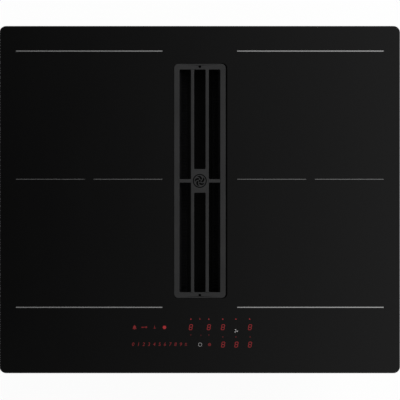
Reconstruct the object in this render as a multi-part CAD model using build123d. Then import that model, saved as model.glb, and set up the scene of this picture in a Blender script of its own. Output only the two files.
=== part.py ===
from build123d import *
import math
import os

# A built-in induction cooktop with a central downdraft extractor.
# Millimetres, +Z up, +Y to the back, +X to the right as the cook sees it.
# The origin is the centre of the glass on the plane of the worktop: the rim seal rests at Z 0,
# the glass lies above it and everything else hangs below.

# ---------------------------------------------------------------- driving dimensions
# glass
GLASS_W = 600.0
GLASS_D = 520.0
GLASS_T = 4.0
GLASS_CORNER = 10.0
GLASS_BEVEL = 0.8
APERTURE_GAP = 0.5  # from the grille to the glass at its left, front and back
LIFT_GAP = 2.5  # and at its right, where it is pried up

# rim seal, bond bead and the frame under the glass
SEAL_T = 2.0
SEAL_W = 10.0
SEAL_INSET = 2.0
BOND_T = 1.0
BOND_W = 5.0
FRAME_SHEET = 1.2
FRAME_FLANGE = 8.0
FRAME_LEG = 12.0
FRAME_GAP = 0.3  # from the frame to the pan

# casing pan
RIM_SIDE = 24.0  # how far the glass reaches past the pan, left and right
RIM_END = 19.0  # and front and back
PAN_DEPTH = 60.0  # below the worktop plane
PAN_SHEET = 1.0
PAN_CORNER = 6.0
PAN_HOLE_GAP = 1.0  # round what passes through the floor
VENT_W = 3.5
VENT_L = 44.0
VENT_PITCH = 8.0
VENT_ROWS = 7
VENT_REAR_ROWS = 8
VENT_REAR_IN = 26.0  # from the board's outer edge to the last slot behind the heatsink
VENT_CORNER = 1.7
BEAD_W = 10.0  # pressed stiffening beads in the floor, beside the blower case
BEAD_DEPTH = 1.5
BEAD_CORNER = 4.5
BEAD_COUNT = 3
BEAD_PITCH = 22.0
BEAD_CASE_GAP = 17.0  # from the case's flange to the middle of the first bead
BEAD_VENT_GAP = 24.0  # from the vents to the ends of the beads

# grille
GRILLE_W = 77.4
GRILLE_L = 351.0
GRILLE_Y = 28.0  # centre, behind the middle of the glass
GRILLE_T = 9.0
GRILLE_PROUD = 0.5
GRILLE_CORNER = 6.5
GRILLE_SIDE = 8.3
GRILLE_END = 8.8
GRILLE_RIB = 5.0
GRILLE_CROSS = 5.4
GRILLE_HUB_L = 35.7
GRILLE_EDGE = 0.6
GRILLE_HOLE_R = 1.9
SLOT_CORNER = 1.2
PAD_R = 3.0
PAD_T = 1.0

# grease filter basket
RIM_T = 1.2
RIM_LAP = 4.0  # how far the rim reaches past the basket's walls
BASKET_GAP = 0.8  # from the basket's walls to the ledge that they pass
BASKET_DEPTH = 55.0
BASKET_SHEET = 1.0
BASKET_FLOOR_W = 44.0
BASKET_TROUGH = 14.0  # closed height at the foot that holds liquid
WINDOW_MARGIN = 7.0
WINDOW_COUNT = 3
WINDOW_BAR = 8.0
MESH_T = 5.0
MESH_LAP = 3.0  # how far the mesh reaches past its windows

# inlet duct
DUCT_W = 110.0
DUCT_WALL = 2.5
DUCT_SEAL_T = 1.0
POCKET_GAP = 1.2  # from the grille to its pocket in the duct
LEDGE_W = 4.2
LEDGE_T = 2.5
DUCT_FLANGE = 9.0
DUCT_REACH = 6.0  # below the pan's floor

# induction coils: one rounded-rectangle spiral each
COIL_SIDE_GAP = 13.0  # from a coil to the duct, and to the pan's side
COIL_BETWEEN = 16.0  # from a front coil to the rear one
COIL_TURNS = 12
COIL_PITCH = 4.4
COIL_WIRE = 3.4
COIL_CORNER = 62.0
MICA_T = 1.0
MICA_MARGIN = 2.0
FORMER_T = 5.0
FORMER_MARGIN = 3.0
FERRITE_L = 46.0
FERRITE_W = 13.0
FERRITE_T = 4.0
FERRITE_FIT = 0.3
SENSOR_R = 9.0
TRAY_T = 1.5
TRAY_MARGIN = 3.0
TRAY_FRONT_GAP = 10.4  # from the control carrier
TRAY_REAR_GAP = 19.3  # from the pan's back wall
SPRING_R = 6.5
SPRING_WIRE = 1.2
SPRING_TURNS = 3
SPRING_H = 13.0
POST_R = 8.5
POST_TIP_R = 4.5
POST_TIP_H = 6.0
POST_IN_X = 28.0  # from the tray's edges to the posts
POST_IN_Y = 11.0

# power boards
BOARD_T = 1.6
BOARD_STAND = 8.0
BOARD_DUCT_GAP = 8.0  # from the duct's foot flange
BOARD_SIDE_GAP = 7.0  # from the claw recess
BOARD_FAN_GAP = 8.0
BOARD_REAR_GAP = 28.0  # from the pan's back wall
STANDOFF_R = 3.5
SINK_W = 64.0
SINK_L = 190.0
SINK_BASE = 5.0
SINK_H = 31.0
SINK_FIN = 1.6
SINK_FINS = 9
SINK_FEET = 2.0
SINK_OFFSET = 12.0  # outwards from the middle of the board
SINK_START = 6.0  # behind the board's front edge

# what stands on the power boards
CAPACITOR_COUNT = 4
CAPACITOR_IN_Y = 16.0  # from the front standoffs to the first row
CAPACITOR_PITCH = 44.0
FILM_W = 30.0
FILM_D = 17.0
FILM_H = 18.0
FILM_IN_X = 26.0  # from the board's inner edge
CAN_R = 6.5
CAN_H = 22.0
CAN_IN_X = 52.0
CHOKE_R = 17.0
CHOKE_BORE_R = 8.0
CHOKE_H = 14.0
CHOKE_IN_Y = 48.0  # behind the heatsink
RELAY_COUNT = 3
RELAY_W = 34.0
RELAY_D = 18.0
RELAY_H = 24.0
RELAY_IN_X = 30.0
RELAY_IN_Y = 26.0
RELAY_PITCH = 34.0
SWITCH_W = 22.0
SWITCH_D = 18.0
SWITCH_H = 16.0
SWITCH_IN_X = 30.0  # from the board's outer edge
SWITCH_IN_Y = 30.0
SWITCH_PITCH = 30.0
HEADER_W = 58.0
HEADER_D = 12.0
HEADER_H = 12.0
HEADER_IN_Y = 24.0

# cooling fans
FAN_W = 84.0
FAN_H = 29.0
FAN_WALL = 2.0
FAN_FRONT_GAP = 10.0  # from the pan's front wall
FAN_ROTOR_R = 32.0
FAN_HUB_R = 13.0
FAN_ROTOR_H = 19.0
FAN_BLADES = 15
FAN_BLADE_T = 1.2
FAN_CAVITY_GAP = 4.0  # round the rotor
FAN_EYE_R = 24.0
FAN_AXLE_R = 2.5
RUNNING_GAP = 0.05  # radial, at a shaft in its bore
ROTOR_FLOAT = 2.0  # above and below a fan's rotor

# controls
PANEL_X = -7.0
PANEL_EDGE = 32.0  # from the front edge of the glass to the control board
PANEL_W = 200.0
PANEL_D = 56.0
PANEL_BOARD_T = 1.6
CARRIER_WALL = 2.0
CARRIER_T = 12.0
CARRIER_LIP = 3.0
DIGIT_W = 12.0
DIGIT_L = 15.0
DIGIT_H = 6.0
DIGIT_SKIN = 0.3  # from the digit modules and touch springs to the glass
DIGIT_ROWS = {9.0: (-13.5, 13.5, 35.0, 75.0), -17.0: (35.0, 55.0, 75.0)}  # Y on the board: X
KEY_R = 2.8
KEY_PITCH = 8.0
KEY_COUNT = 11
KEY_FIRST_X = -100.0
KEY_ROW = -17.0  # from the middle of the board

# swing-out worktop claws
CLAW_END_GAP = 20.0  # from a claw's recess to the pan's corner
CLAW_INSET = 12.0  # pivot from the pan's outer wall
CLAW_L = 38.0
CLAW_W = 15.0
CLAW_T = 3.0
CLAW_TIP = 5.0
CLAW_TIP_T = 4.0
CLAW_Z = -48.0  # underside of the arm
CLAW_SCREW_R = 2.5
CLAW_HEAD_R = 4.5
CLAW_HEAD_T = 3.5
POCKET_DEPTH = 24.0
POCKET_L = 62.0
POCKET_ROOF = -14.0
POCKET_CLEAR = 4.0  # behind the parked claw

# blower case
CASE_W = 300.0
CASE_PAST_FRONT = 6.8  # past the duct's front wall
CASE_PAST_BACK = 8.8  # past the duct's back wall
CASE_WALL = 2.5
CASE_CORNER = 8.0
CASE_FLANGE = 11.0
UPPER_H = 38.0
LOWER_H = 103.5
FLOOR_T = 3.0
RIB_T = 2.0
RIB_DEPTH = 2.0
RIB_PITCH = 35.0
FOOT_RELIEF = 1.0  # depth of the fields between the ribs under the floor
FOOT_BORDER = 12.0
FOOT_RIB = 3.0
FOOT_PITCH = 46.0
FOOT_RING_R = 64.0
BOSS_R = 3.8
BOSS_H = 10.0

# scroll, fan eye and impeller
FAN_AXIS_X = -15.0
FAN_AXIS_Y = 38.0
SCROLL_START_R = 103.0
SCROLL_CASE_GAP = 14.0  # from the scroll's wall to the case's side
SCROLL_START_DEG = 105.0
SCROLL_END_DEG = 360.0
SCROLL_WALL = 2.5
EYE_R = 66.0
LIP_R = 5.0
LIP_H = 10.0
WHEEL_R = 95.0
WHEEL_INNER_R = 79.0
WHEEL_BLADES = 36
WHEEL_BLADE_T = 1.4
WHEEL_DISC_T = 2.5
WHEEL_RING_T = 3.0
WHEEL_TOP_GAP = 4.0
WHEEL_FLOOR_GAP = 28.5
BLADE_SWEEP = 24.0  # degrees that each blade leans forward

# motor
ROTOR_R = 48.0
ROTOR_WALL = 2.5
ROTOR_H = 50.0
ROTOR_SINK = 10.0  # how far the cup reaches below the wheel's disc
MAGNET_T = 4.0
AIR_GAP = 0.8
SHAFT_R = 4.0
BEARING_R = 11.0
BEARING_T = 7.0
TUBE_WALL = 3.0
STATOR_TEETH = 12
TOOTH_TIP = 3.0
TOOTH_GAP = 5.0
TOOTH_MOUTH = 1.5
MOTOR_PLATE_R = 60.0
MOTOR_PLATE_T = 3.0
BUSH_R = 6.0
BUSH_T = 6.0
BUSH_RING_R = 52.0
BUSH_COUNT = 3

# outlet spigot
SPIGOT_W = 220.0
SPIGOT_H = 90.0
SPIGOT_WALL = 2.0
SPIGOT_CORNER = 6.0
SPIGOT_L = 23.0
SPIGOT_FLANGE_T = 2.5
SPIGOT_LAP = 9.0
SPIGOT_LIP = 1.5

# drain plug
PLUG_IN_X = 55.0  # from the case's outer faces to the plug
PLUG_IN_Y = 36.0
PLUG_WELL_R = 22.0
PLUG_WELL_H = 14.0
PLUG_BORE_R = 11.0
PLUG_R = 18.0
PLUG_T = 5.0
PLUG_GRIP_W = 6.0
PLUG_LIFT = 1.5  # from the foot of the case to the grip
PLUG_GRIP_SHARE = 0.9  # of the cap's radius
PLUG_LUG = 3.5  # how far the bayonet lugs reach past the bore
PLUG_LUG_W = 5.0
PLUG_LUG_T = 2.0
PLUG_LUG_FIT = 1.2  # added to a lug's width for its notch
PLUG_SEAL_T = 2.0
PLUG_GAP = 0.3
DRAIN_HOLE_R = 5.0

# mains terminals
TERMINAL_CASE_GAP = 6.0  # from the case's flange to the terminals' cover
TERMINAL_IN_Y = 45.0  # from the pan's outer face to the middle of the terminals
TERMINAL_W = 56.0
TERMINAL_D = 26.0
TERMINAL_H = 18.0
TERMINAL_POLES = 6
COVER_W = 70.0
COVER_D = 62.0
COVER_H = 30.0
COVER_WALL = 2.0
COVER_LAP = 6.0
GLAND_R = 10.5
GLAND_BORE_R = 6.5
GLAND_NUT_R = 13.5
GLAND_NUT_T = 9.0
GLAND_L = 22.0

# screws
SCREW_R = 1.9
SCREW_HEAD_R = 3.6
SCREW_HEAD_T = 1.8
SCREW_L = 8.0
SCREW_FIT = 0.1  # radial, in a clearance hole
SCREW_SLOT = 0.8
PAN_SCREWS_X = (-200.0, -70.0, 70.0, 200.0)
PAN_SCREWS_Y = (-100.0, 100.0)
DUCT_SCREW_PITCH = 116.0
CASE_SCREW_PITCH = 88.0
CASE_SCREW_OUT = 6.6  # from the case's wall to the line of its flange screws

# ---------------------------------------------------------------- derived levels and places
PAN_W = GLASS_W - 2 * RIM_SIDE
PAN_D = GLASS_D - 2 * RIM_END
GLASS_BASE = SEAL_T
GLASS_TOP = GLASS_BASE + GLASS_T
FRAME_TOP = GLASS_BASE - BOND_T
FRAME_W = PAN_W - 2 * (PAN_SHEET + FRAME_GAP)
FRAME_D = PAN_D - 2 * (PAN_SHEET + FRAME_GAP)
PAN_BASE = -PAN_DEPTH
PAN_FLOOR = PAN_BASE + PAN_SHEET

GRILLE_TOP = GLASS_TOP + GRILLE_PROUD
GRILLE_BASE = GRILLE_TOP - GRILLE_T
RIM_TOP = GRILLE_BASE - PAD_T
LEDGE_TOP = RIM_TOP - RIM_T
POCKET_W = GRILLE_W + 2 * POCKET_GAP
POCKET_LEN = GRILLE_L + 2 * POCKET_GAP
THROAT_W = POCKET_W - 2 * LEDGE_W
THROAT_LEN = POCKET_LEN - 2 * LEDGE_W
BASKET_W = THROAT_W - 2 * BASKET_GAP
BASKET_L = THROAT_LEN - 2 * BASKET_GAP
DUCT_TOP = GLASS_BASE - DUCT_SEAL_T
DUCT_L = POCKET_LEN + 2 * DUCT_WALL
DUCT_FLOOR_HOLE_W = DUCT_W + 2 * PAN_HOLE_GAP
DUCT_FLOOR_HOLE_L = DUCT_L + 2 * PAN_HOLE_GAP

PANEL_Y = PANEL_EDGE + (PANEL_D - GLASS_D) / 2
CARRIER_W = PANEL_W + 2 * (CARRIER_WALL + FRAME_GAP)
CARRIER_D = PANEL_D + 2 * (CARRIER_WALL + FRAME_GAP)
TRAY_FRONT = PANEL_Y + CARRIER_D / 2 + TRAY_FRONT_GAP
TRAY_REAR = PAN_D / 2 - PAN_SHEET - TRAY_REAR_GAP
ZONE_X = (PAN_W / 2 - PAN_SHEET + DUCT_W / 2) / 2
ZONE_Y = (TRAY_FRONT + TRAY_REAR) / 2
COIL_W = PAN_W / 2 - PAN_SHEET - DUCT_W / 2 - 2 * COIL_SIDE_GAP
COIL_D = (TRAY_REAR - TRAY_FRONT - COIL_BETWEEN) / 2 - FORMER_MARGIN - TRAY_MARGIN
ZONE_PITCH = COIL_D + COIL_BETWEEN

FAN_Y = FAN_FRONT_GAP + PAN_SHEET + (FAN_W - PAN_D) / 2
BOARD_X = DUCT_W / 2 + DUCT_FLANGE + BOARD_DUCT_GAP
BOARD_W = PAN_W / 2 - POCKET_DEPTH - PAN_SHEET - BOARD_SIDE_GAP - BOARD_X
BOARD_Y = FAN_Y + FAN_W / 2 + BOARD_FAN_GAP
BOARD_L = PAN_D / 2 - PAN_SHEET - BOARD_REAR_GAP - BOARD_Y
SINK_X = BOARD_X + BOARD_W / 2 + SINK_OFFSET

COIL_TOP = GLASS_BASE - MICA_T
FORMER_TOP = COIL_TOP - COIL_WIRE
TRAY_TOP = FORMER_TOP - FORMER_T
TRAY_BASE = TRAY_TOP - TRAY_T
BOARD_BASE = PAN_FLOOR + BOARD_STAND
BOARD_TOP = BOARD_BASE + BOARD_T
SPRING_BASE = TRAY_BASE - SPRING_H

CASE_FRONT = GRILLE_Y - DUCT_L / 2 - CASE_PAST_FRONT
CASE_BACK = GRILLE_Y + DUCT_L / 2 + CASE_PAST_BACK
CASE_TOP = PAN_BASE
COVER_TOP = CASE_TOP - UPPER_H
LOWER_TOP = COVER_TOP - CASE_WALL
CASE_BASE = LOWER_TOP - LOWER_H
CASE_FLOOR = CASE_BASE + FLOOR_T
CASE_L = CASE_BACK - CASE_FRONT
CASE_Y = (CASE_BACK + CASE_FRONT) / 2

WHEEL_TOP = LOWER_TOP - WHEEL_TOP_GAP
DISC_BASE = CASE_FLOOR + WHEEL_FLOOR_GAP
DISC_TOP = DISC_BASE + WHEEL_DISC_T
ROTOR_BASE = DISC_BASE - ROTOR_SINK
ROTOR_TOP = ROTOR_BASE + ROTOR_H
PLATE_BASE = CASE_FLOOR + BUSH_T
PLATE_TOP = PLATE_BASE + MOTOR_PLATE_T
SHAFT_BASE = PLATE_TOP + 1.0
TUBE_TOP = ROTOR_TOP - ROTOR_WALL - AIR_GAP

SPIGOT_Z = CASE_FLOOR + SPIGOT_LIP + SPIGOT_H / 2
SPIGOT_BORE_W = SPIGOT_W - 2 * SPIGOT_WALL
SPIGOT_BORE_H = SPIGOT_H - 2 * SPIGOT_WALL
SCROLL_SIDE = CASE_W / 2 - CASE_WALL - SCROLL_CASE_GAP - SCROLL_WALL
SCROLL_END_R = SCROLL_SIDE - FAN_AXIS_X
SPIGOT_X = SCROLL_SIDE - SPIGOT_BORE_W / 2
PLUG_X = CASE_W / 2 - PLUG_IN_X
PLUG_Y = CASE_FRONT + PLUG_IN_Y

TERMINAL_X = CASE_W / 2 + CASE_FLANGE + TERMINAL_CASE_GAP + COVER_W / 2
TERMINAL_Y = PAN_D / 2 - TERMINAL_IN_Y
CLAW_X = PAN_W / 2 - CLAW_INSET
CLAW_Y = PAN_D / 2 - CLAW_END_GAP - POCKET_L / 2
SIDES = {"left": -1, "right": 1}
ENDS = {"front": -1, "rear": 1}


# ---------------------------------------------------------------- shared shapes
def block(x0, x1, y0, y1, z0, z1):
    """A square-cornered block between two opposite corners."""
    return Pos((x0 + x1) / 2, (y0 + y1) / 2, (z0 + z1) / 2) * Box(x1 - x0, y1 - y0, z1 - z0)


def slab(width, depth, z0, z1, corner=0.0, x=0.0, y=0.0):
    """An upright-sided slab with rounded corners in plan."""
    outline = RectangleRounded(width, depth, corner) if corner > 0 else Rectangle(width, depth)
    return Pos(x, y, z0) * extrude(outline, z1 - z0)


def rod(radius, z0, z1, x=0.0, y=0.0):
    """An upright cylinder between two levels."""
    return Pos(x, y, (z0 + z1) / 2) * Cylinder(radius, z1 - z0)


def tube(outer, inner, z0, z1, x=0.0, y=0.0):
    """An upright tube between two levels."""
    return rod(outer, z0, z1, x, y) - rod(inner, z0, z1, x, y)


def frame_ring(width, depth, band, z0, z1, corner, x=0.0, y=0.0):
    """A flat rectangular ring, its outer corners rounded."""
    inner_corner = max(corner - band, 1.0)
    outer = slab(width, depth, z0, z1, corner, x, y)
    return outer - slab(width - 2 * band, depth - 2 * band, z0, z1, inner_corner, x, y)


def group(solids):
    """Separate solids that share one node."""
    return Compound(children=[s.solid() if hasattr(s, "solid") else s for s in solids])


def screw(length=SCREW_L, radius=SCREW_R, head_r=SCREW_HEAD_R, head_t=SCREW_HEAD_T):
    """A pan-head screw with a cross recess: the head's seat is at Z 0 and the shank points down."""
    body = rod(radius, -length, 0) + rod(head_r, 0, head_t)
    recess = Box(head_r, SCREW_SLOT, head_t) + Box(SCREW_SLOT, head_r, head_t)
    body = body - Pos(0, 0, head_t) * recess
    return body


def spaced(first, last, pitch):
    """Even places from first to last, no further apart than pitch."""
    steps = max(1, math.ceil((last - first) / pitch))
    return [first + (last - first) * i / steps for i in range(steps + 1)]


# ---------------------------------------------------------------- glass, seal and frame
def glass_top():
    """The ceramic glass: bevelled top edge, and the aperture that the grille drops into."""
    plate = slab(GLASS_W, GLASS_D, GLASS_BASE, GLASS_TOP, GLASS_CORNER)
    plate = chamfer(plate.faces().sort_by(Axis.Z)[-1].edges(), GLASS_BEVEL)
    hole = slab(
        GRILLE_W + APERTURE_GAP + LIFT_GAP,
        GRILLE_L + 2 * APERTURE_GAP,
        GLASS_BASE,
        GLASS_TOP,
        GRILLE_CORNER + APERTURE_GAP,
        (LIFT_GAP - APERTURE_GAP) / 2,
        GRILLE_Y,
    )
    return plate - hole


def rim_seal():
    """The foam strip that the glass rests on."""
    width, depth = GLASS_W - 2 * SEAL_INSET, GLASS_D - 2 * SEAL_INSET
    return frame_ring(width, depth, SEAL_W, 0, SEAL_T, GLASS_CORNER - SEAL_INSET)


def glass_bond_bead():
    """The silicone bead between the glass and its frame."""
    return frame_ring(FRAME_W, FRAME_D, BOND_W, FRAME_TOP, GLASS_BASE, PAN_CORNER)


def pan_screw_places():
    """Where the screws go through the pan's walls into the frame: a place, and the way the head faces."""
    z = FRAME_TOP - FRAME_LEG / 2
    places = []
    for side in (-1, 1):
        places += [(x, side * PAN_D / 2, z, 0, side) for x in PAN_SCREWS_X]
        places += [(side * PAN_W / 2, y, z, side, 0) for y in PAN_SCREWS_Y]
    return places


def facing(x, y, z, nx, ny):
    """A place whose Z points along a wall's outward normal."""
    return Plane(origin=(x, y, z), z_dir=(nx, ny, 0))


def glass_frame():
    """The pressed frame bonded under the glass: a flat flange and a leg that the pan is screwed to."""
    frame = frame_ring(FRAME_W, FRAME_D, FRAME_FLANGE, FRAME_TOP - FRAME_SHEET, FRAME_TOP, PAN_CORNER)
    frame += frame_ring(FRAME_W, FRAME_D, FRAME_SHEET, FRAME_TOP - FRAME_LEG, FRAME_TOP, PAN_CORNER)
    for x, y, z, nx, ny in pan_screw_places():
        hole = Cylinder(SCREW_R + RUNNING_GAP, 4 * (PAN_SHEET + FRAME_GAP + FRAME_SHEET))
        frame -= facing(x, y, z, nx, ny) * hole
    return frame


# ---------------------------------------------------------------- casing pan
def claw_pockets(grow):
    """The recesses in the pan's side walls that the worktop claws park in, grown by a margin."""
    reach = PAN_W / 2 - POCKET_DEPTH
    voids = []
    for side in SIDES.values():
        for end in ENDS.values():
            near = end * CLAW_Y - POCKET_L / 2 - grow
            far = end * CLAW_Y + POCKET_L / 2 + grow
            x0, x1 = sorted((side * (reach - grow), side * (PAN_W / 2 + PAN_SHEET)))
            voids.append(block(x0, x1, near, far, PAN_BASE - PAN_SHEET, POCKET_ROOF + grow))
    return voids


def claw_pivots():
    """Each claw's name, pivot and side: the arm parks pointing to the back."""
    for side, s in SIDES.items():
        for end, e in ENDS.items():
            y = e * CLAW_Y - POCKET_L / 2 + POCKET_CLEAR + CLAW_W / 2
            yield f"{end}_{side}", s * CLAW_X, y, s


def pan_vents():
    """The slots under each cooling fan, and the field of slots behind each heatsink."""
    slots = []
    for side in SIDES.values():
        for i in range(VENT_ROWS):
            x = side * SINK_X + (i - (VENT_ROWS - 1) / 2) * VENT_PITCH
            slots.append((x, FAN_Y))
        for i in range(VENT_REAR_ROWS):
            x = BOARD_X + BOARD_W - VENT_REAR_IN - i * VENT_PITCH
            slots.append((side * x, BOARD_Y + SINK_L + VENT_L))
    return [slab(VENT_W, VENT_L, PAN_BASE, PAN_FLOOR, VENT_CORNER, x, y) for x, y in slots]


def bead_places():
    """The centre of each bead, and how long they are: from the front vents to the rear ones."""
    front = FAN_Y + VENT_L / 2 + BEAD_VENT_GAP
    back = BOARD_Y + SINK_L + VENT_L / 2 - BEAD_VENT_GAP
    first = CASE_W / 2 + CASE_FLANGE + BEAD_CASE_GAP
    y = (front + back) / 2
    places = [(s * (first + i * BEAD_PITCH), y) for s in (-1, 1) for i in range(BEAD_COUNT)]
    return places, back - front


def casing_pan():
    """The folded steel pan: claw recesses, vents, pressed beads, and the opening for the duct."""
    inner_w, inner_d = PAN_W - 2 * PAN_SHEET, PAN_D - 2 * PAN_SHEET
    outer = slab(PAN_W, PAN_D, PAN_BASE, FRAME_TOP, PAN_CORNER) - claw_pockets(0)
    inner = slab(inner_w, inner_d, PAN_FLOOR, FRAME_TOP, PAN_CORNER - PAN_SHEET)
    pan = outer - (inner - claw_pockets(PAN_SHEET))
    beads, bead_l = bead_places()
    bead_base = PAN_BASE - BEAD_DEPTH
    pan += [slab(BEAD_W, bead_l, bead_base, PAN_FLOOR, BEAD_CORNER, x, y) for x, y in beads]
    groove_w, groove_l = BEAD_W - 2 * PAN_SHEET, bead_l - 2 * PAN_SHEET
    groove_base, groove_corner = bead_base + PAN_SHEET, BEAD_CORNER - PAN_SHEET
    pan -= [slab(groove_w, groove_l, groove_base, PAN_FLOOR, groove_corner, x, y) for x, y in beads]
    cuts = [
        slab(DUCT_FLOOR_HOLE_W, DUCT_FLOOR_HOLE_L, PAN_BASE, PAN_FLOOR, PAN_CORNER, y=GRILLE_Y)
    ]
    cuts += pan_vents()
    for x, y, z, nx, ny in pan_screw_places():
        cuts.append(facing(x, y, z, nx, ny) * Cylinder(SCREW_R + SCREW_FIT, 4 * PAN_SHEET))
    for _, x, y, _ in claw_pivots():
        cuts.append(rod(CLAW_SCREW_R + RUNNING_GAP, POCKET_ROOF, POCKET_ROOF + PAN_SHEET, x, y))
    for x, y in duct_screw_places() + cover_screw_places():
        cuts.append(rod(SCREW_R + SCREW_FIT, PAN_BASE, PAN_FLOOR, x, y))
    return pan - cuts


def casing_screws():
    """The screws from the pan into the frame, and the two that hold the terminal cover."""
    made = [facing(x, y, z, nx, ny) * screw() for x, y, z, nx, ny in pan_screw_places()]
    upwards = Rot(180, 0, 0) * screw()
    made += [Pos(x, y, PAN_BASE - COVER_WALL) * upwards for x, y in cover_screw_places()]
    return group(made)


# ---------------------------------------------------------------- grille and grease filter
def slot_width():
    return (GRILLE_W - 2 * GRILLE_SIDE - 2 * GRILLE_RIB) / 3


def grille_slots():
    """Centre, width and length of each slot in plan."""
    width = slot_width()
    pitch = width + GRILLE_RIB
    length = GRILLE_L - 2 * GRILLE_END
    slots = []
    for column, bridge in ((-1, GRILLE_CROSS), (0, GRILLE_HUB_L), (1, GRILLE_CROSS)):
        part_l = (length - bridge) / 2
        for end in (-1, 1):
            slots.append((column * pitch, GRILLE_Y + end * (bridge + part_l) / 2, width, part_l))
    return slots


def grille():
    """The cast inlet grille: three columns of slots with a hub plate in the middle."""
    body = slab(GRILLE_W, GRILLE_L, GRILLE_BASE, GRILLE_TOP, GRILLE_CORNER, y=GRILLE_Y)
    for x, y, width, length in grille_slots():
        body -= slab(width, length, GRILLE_BASE, GRILLE_TOP, SLOT_CORNER, x, y)
    body = chamfer(body.faces().sort_by(Axis.Z)[-1].edges(), GRILLE_EDGE)
    for end in (-1, 1):
        y = GRILLE_Y + end * (GRILLE_L - GRILLE_END) / 2
        body -= rod(GRILLE_HOLE_R, GRILLE_BASE, GRILLE_TOP, y=y)
    return body


def grille_pads():
    """Silicone pads between the grille and the basket's rim."""
    x = (GRILLE_W - GRILLE_SIDE) / 2
    y = GRILLE_L / 2 - 4 * PAD_R
    return group(
        rod(PAD_R, RIM_TOP, GRILLE_BASE, s * x, GRILLE_Y + e * y) for s in (-1, 1) for e in (-1, 1)
    )


def basket_section(inset):
    """The basket's V-shaped section across X, moved in by a wall."""
    lean = (BASKET_W - BASKET_FLOOR_W) / 2 / BASKET_DEPTH
    side = inset * math.sqrt(1 + lean * lean)
    top, foot = BASKET_W / 2 - side, BASKET_FLOOR_W / 2 - side + lean * inset
    base = LEDGE_TOP - BASKET_DEPTH + inset
    return [(-top, LEDGE_TOP), (top, LEDGE_TOP), (foot, base), (-foot, base)]


def basket_prism(inset, length):
    """A closed V-shaped prism along Y, made from the basket's section."""
    outline = make_face(Polyline(*basket_section(inset), close=True).edges())
    prism = extrude(Plane.XZ * outline, length / 2, both=True)
    return Pos(0, GRILLE_Y, 0) * prism


def window_spans():
    """The Y spans of the windows in each long wall of the basket."""
    room = BASKET_L - 2 * WINDOW_MARGIN - (WINDOW_COUNT - 1) * WINDOW_BAR
    width = room / WINDOW_COUNT
    start = GRILLE_Y - BASKET_L / 2 + WINDOW_MARGIN
    starts = [start + i * (width + WINDOW_BAR) for i in range(WINDOW_COUNT)]
    return [(y, y + width) for y in starts]


def wall_lean():
    """The lean of the basket's long walls from upright, in degrees."""
    return math.degrees(math.atan2((BASKET_W - BASKET_FLOOR_W) / 2, BASKET_DEPTH))


def window_levels():
    return LEDGE_TOP - BASKET_DEPTH + BASKET_TROUGH, LEDGE_TOP - WINDOW_MARGIN


def filter_basket():
    """The pressed basket: a rim that rests on the duct's ledge, windowed walls and a closed trough."""
    rim_w, rim_l = BASKET_W + 2 * RIM_LAP, BASKET_L + 2 * RIM_LAP
    body = basket_prism(0, BASKET_L)
    body += slab(rim_w, rim_l, LEDGE_TOP, RIM_TOP, GRILLE_CORNER, y=GRILLE_Y)
    body -= basket_prism(BASKET_SHEET, BASKET_L - 2 * BASKET_SHEET)
    throat_w = BASKET_W - 2 * BASKET_SHEET
    body -= slab(throat_w, BASKET_L - 2 * BASKET_SHEET, LEDGE_TOP, RIM_TOP, y=GRILLE_Y)
    low, high = window_levels()
    for y0, y1 in window_spans():
        body -= block(-BASKET_W, BASKET_W, y0, y1, low, high)
    return body


def filter_mesh(side):
    """One aluminium mesh panel, lying against the inside of a leaning wall behind its windows."""
    low, high = window_levels()
    lean = math.radians(wall_lean())
    mid = (low + high) / 2
    wall_x = BASKET_FLOOR_W / 2 + (mid - LEDGE_TOP + BASKET_DEPTH) * math.tan(lean)
    inset = BASKET_SHEET + MESH_T / 2
    panel_h = (high - low) / math.cos(lean) + 2 * MESH_LAP
    panel_l = BASKET_L - 2 * WINDOW_MARGIN + 2 * MESH_LAP
    panel = Box(MESH_T, panel_l, panel_h)
    x = side * (wall_x - inset / math.cos(lean))
    return Pos(x, GRILLE_Y, mid) * Rot(0, side * wall_lean(), 0) * panel


# ---------------------------------------------------------------- inlet duct
def duct_screw_places():
    """Screws down through the duct's foot flange, the pan and into the blower case."""
    x = DUCT_W / 2 + DUCT_FLANGE / 2
    y0, y1 = GRILLE_Y - DUCT_L / 2 + DUCT_FLANGE, GRILLE_Y + DUCT_L / 2 - DUCT_FLANGE
    return [(s * x, y) for s in (-1, 1) for y in spaced(y0, y1, DUCT_SCREW_PITCH)]


def inlet_duct():
    """The moulded duct: a pocket for the grille, a ledge for the basket, and a foot flange."""
    foot = PAN_BASE - DUCT_REACH
    inner_w, inner_l = DUCT_W - 2 * DUCT_WALL, DUCT_L - 2 * DUCT_WALL
    ledge_base = LEDGE_TOP - LEDGE_T
    body = slab(DUCT_W, DUCT_L, foot, DUCT_TOP, PAN_CORNER, y=GRILLE_Y)
    body += slab(
        DUCT_W + 2 * DUCT_FLANGE, DUCT_L, PAN_FLOOR, PAN_FLOOR + DUCT_WALL, PAN_CORNER, y=GRILLE_Y
    )
    body -= slab(inner_w, inner_l, foot, ledge_base, PAN_CORNER - DUCT_WALL, y=GRILLE_Y)
    body -= slab(THROAT_W, THROAT_LEN, ledge_base, LEDGE_TOP, y=GRILLE_Y)
    body -= slab(POCKET_W, POCKET_LEN, LEDGE_TOP, DUCT_TOP, GRILLE_CORNER, y=GRILLE_Y)
    groove_in = POCKET_W / 2 + DUCT_WALL
    for s in (-1, 1):
        x0, x1 = sorted((s * groove_in, s * inner_w / 2))
        y0, y1 = GRILLE_Y - inner_l / 2 + DUCT_WALL, GRILLE_Y + inner_l / 2 - DUCT_WALL
        body -= block(x0, x1, y0, y1, ledge_base, DUCT_TOP - DUCT_WALL)
    for x, y in duct_screw_places():
        body -= rod(SCREW_R + SCREW_FIT, PAN_FLOOR, PAN_FLOOR + DUCT_WALL, x, y)
    return body


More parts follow.
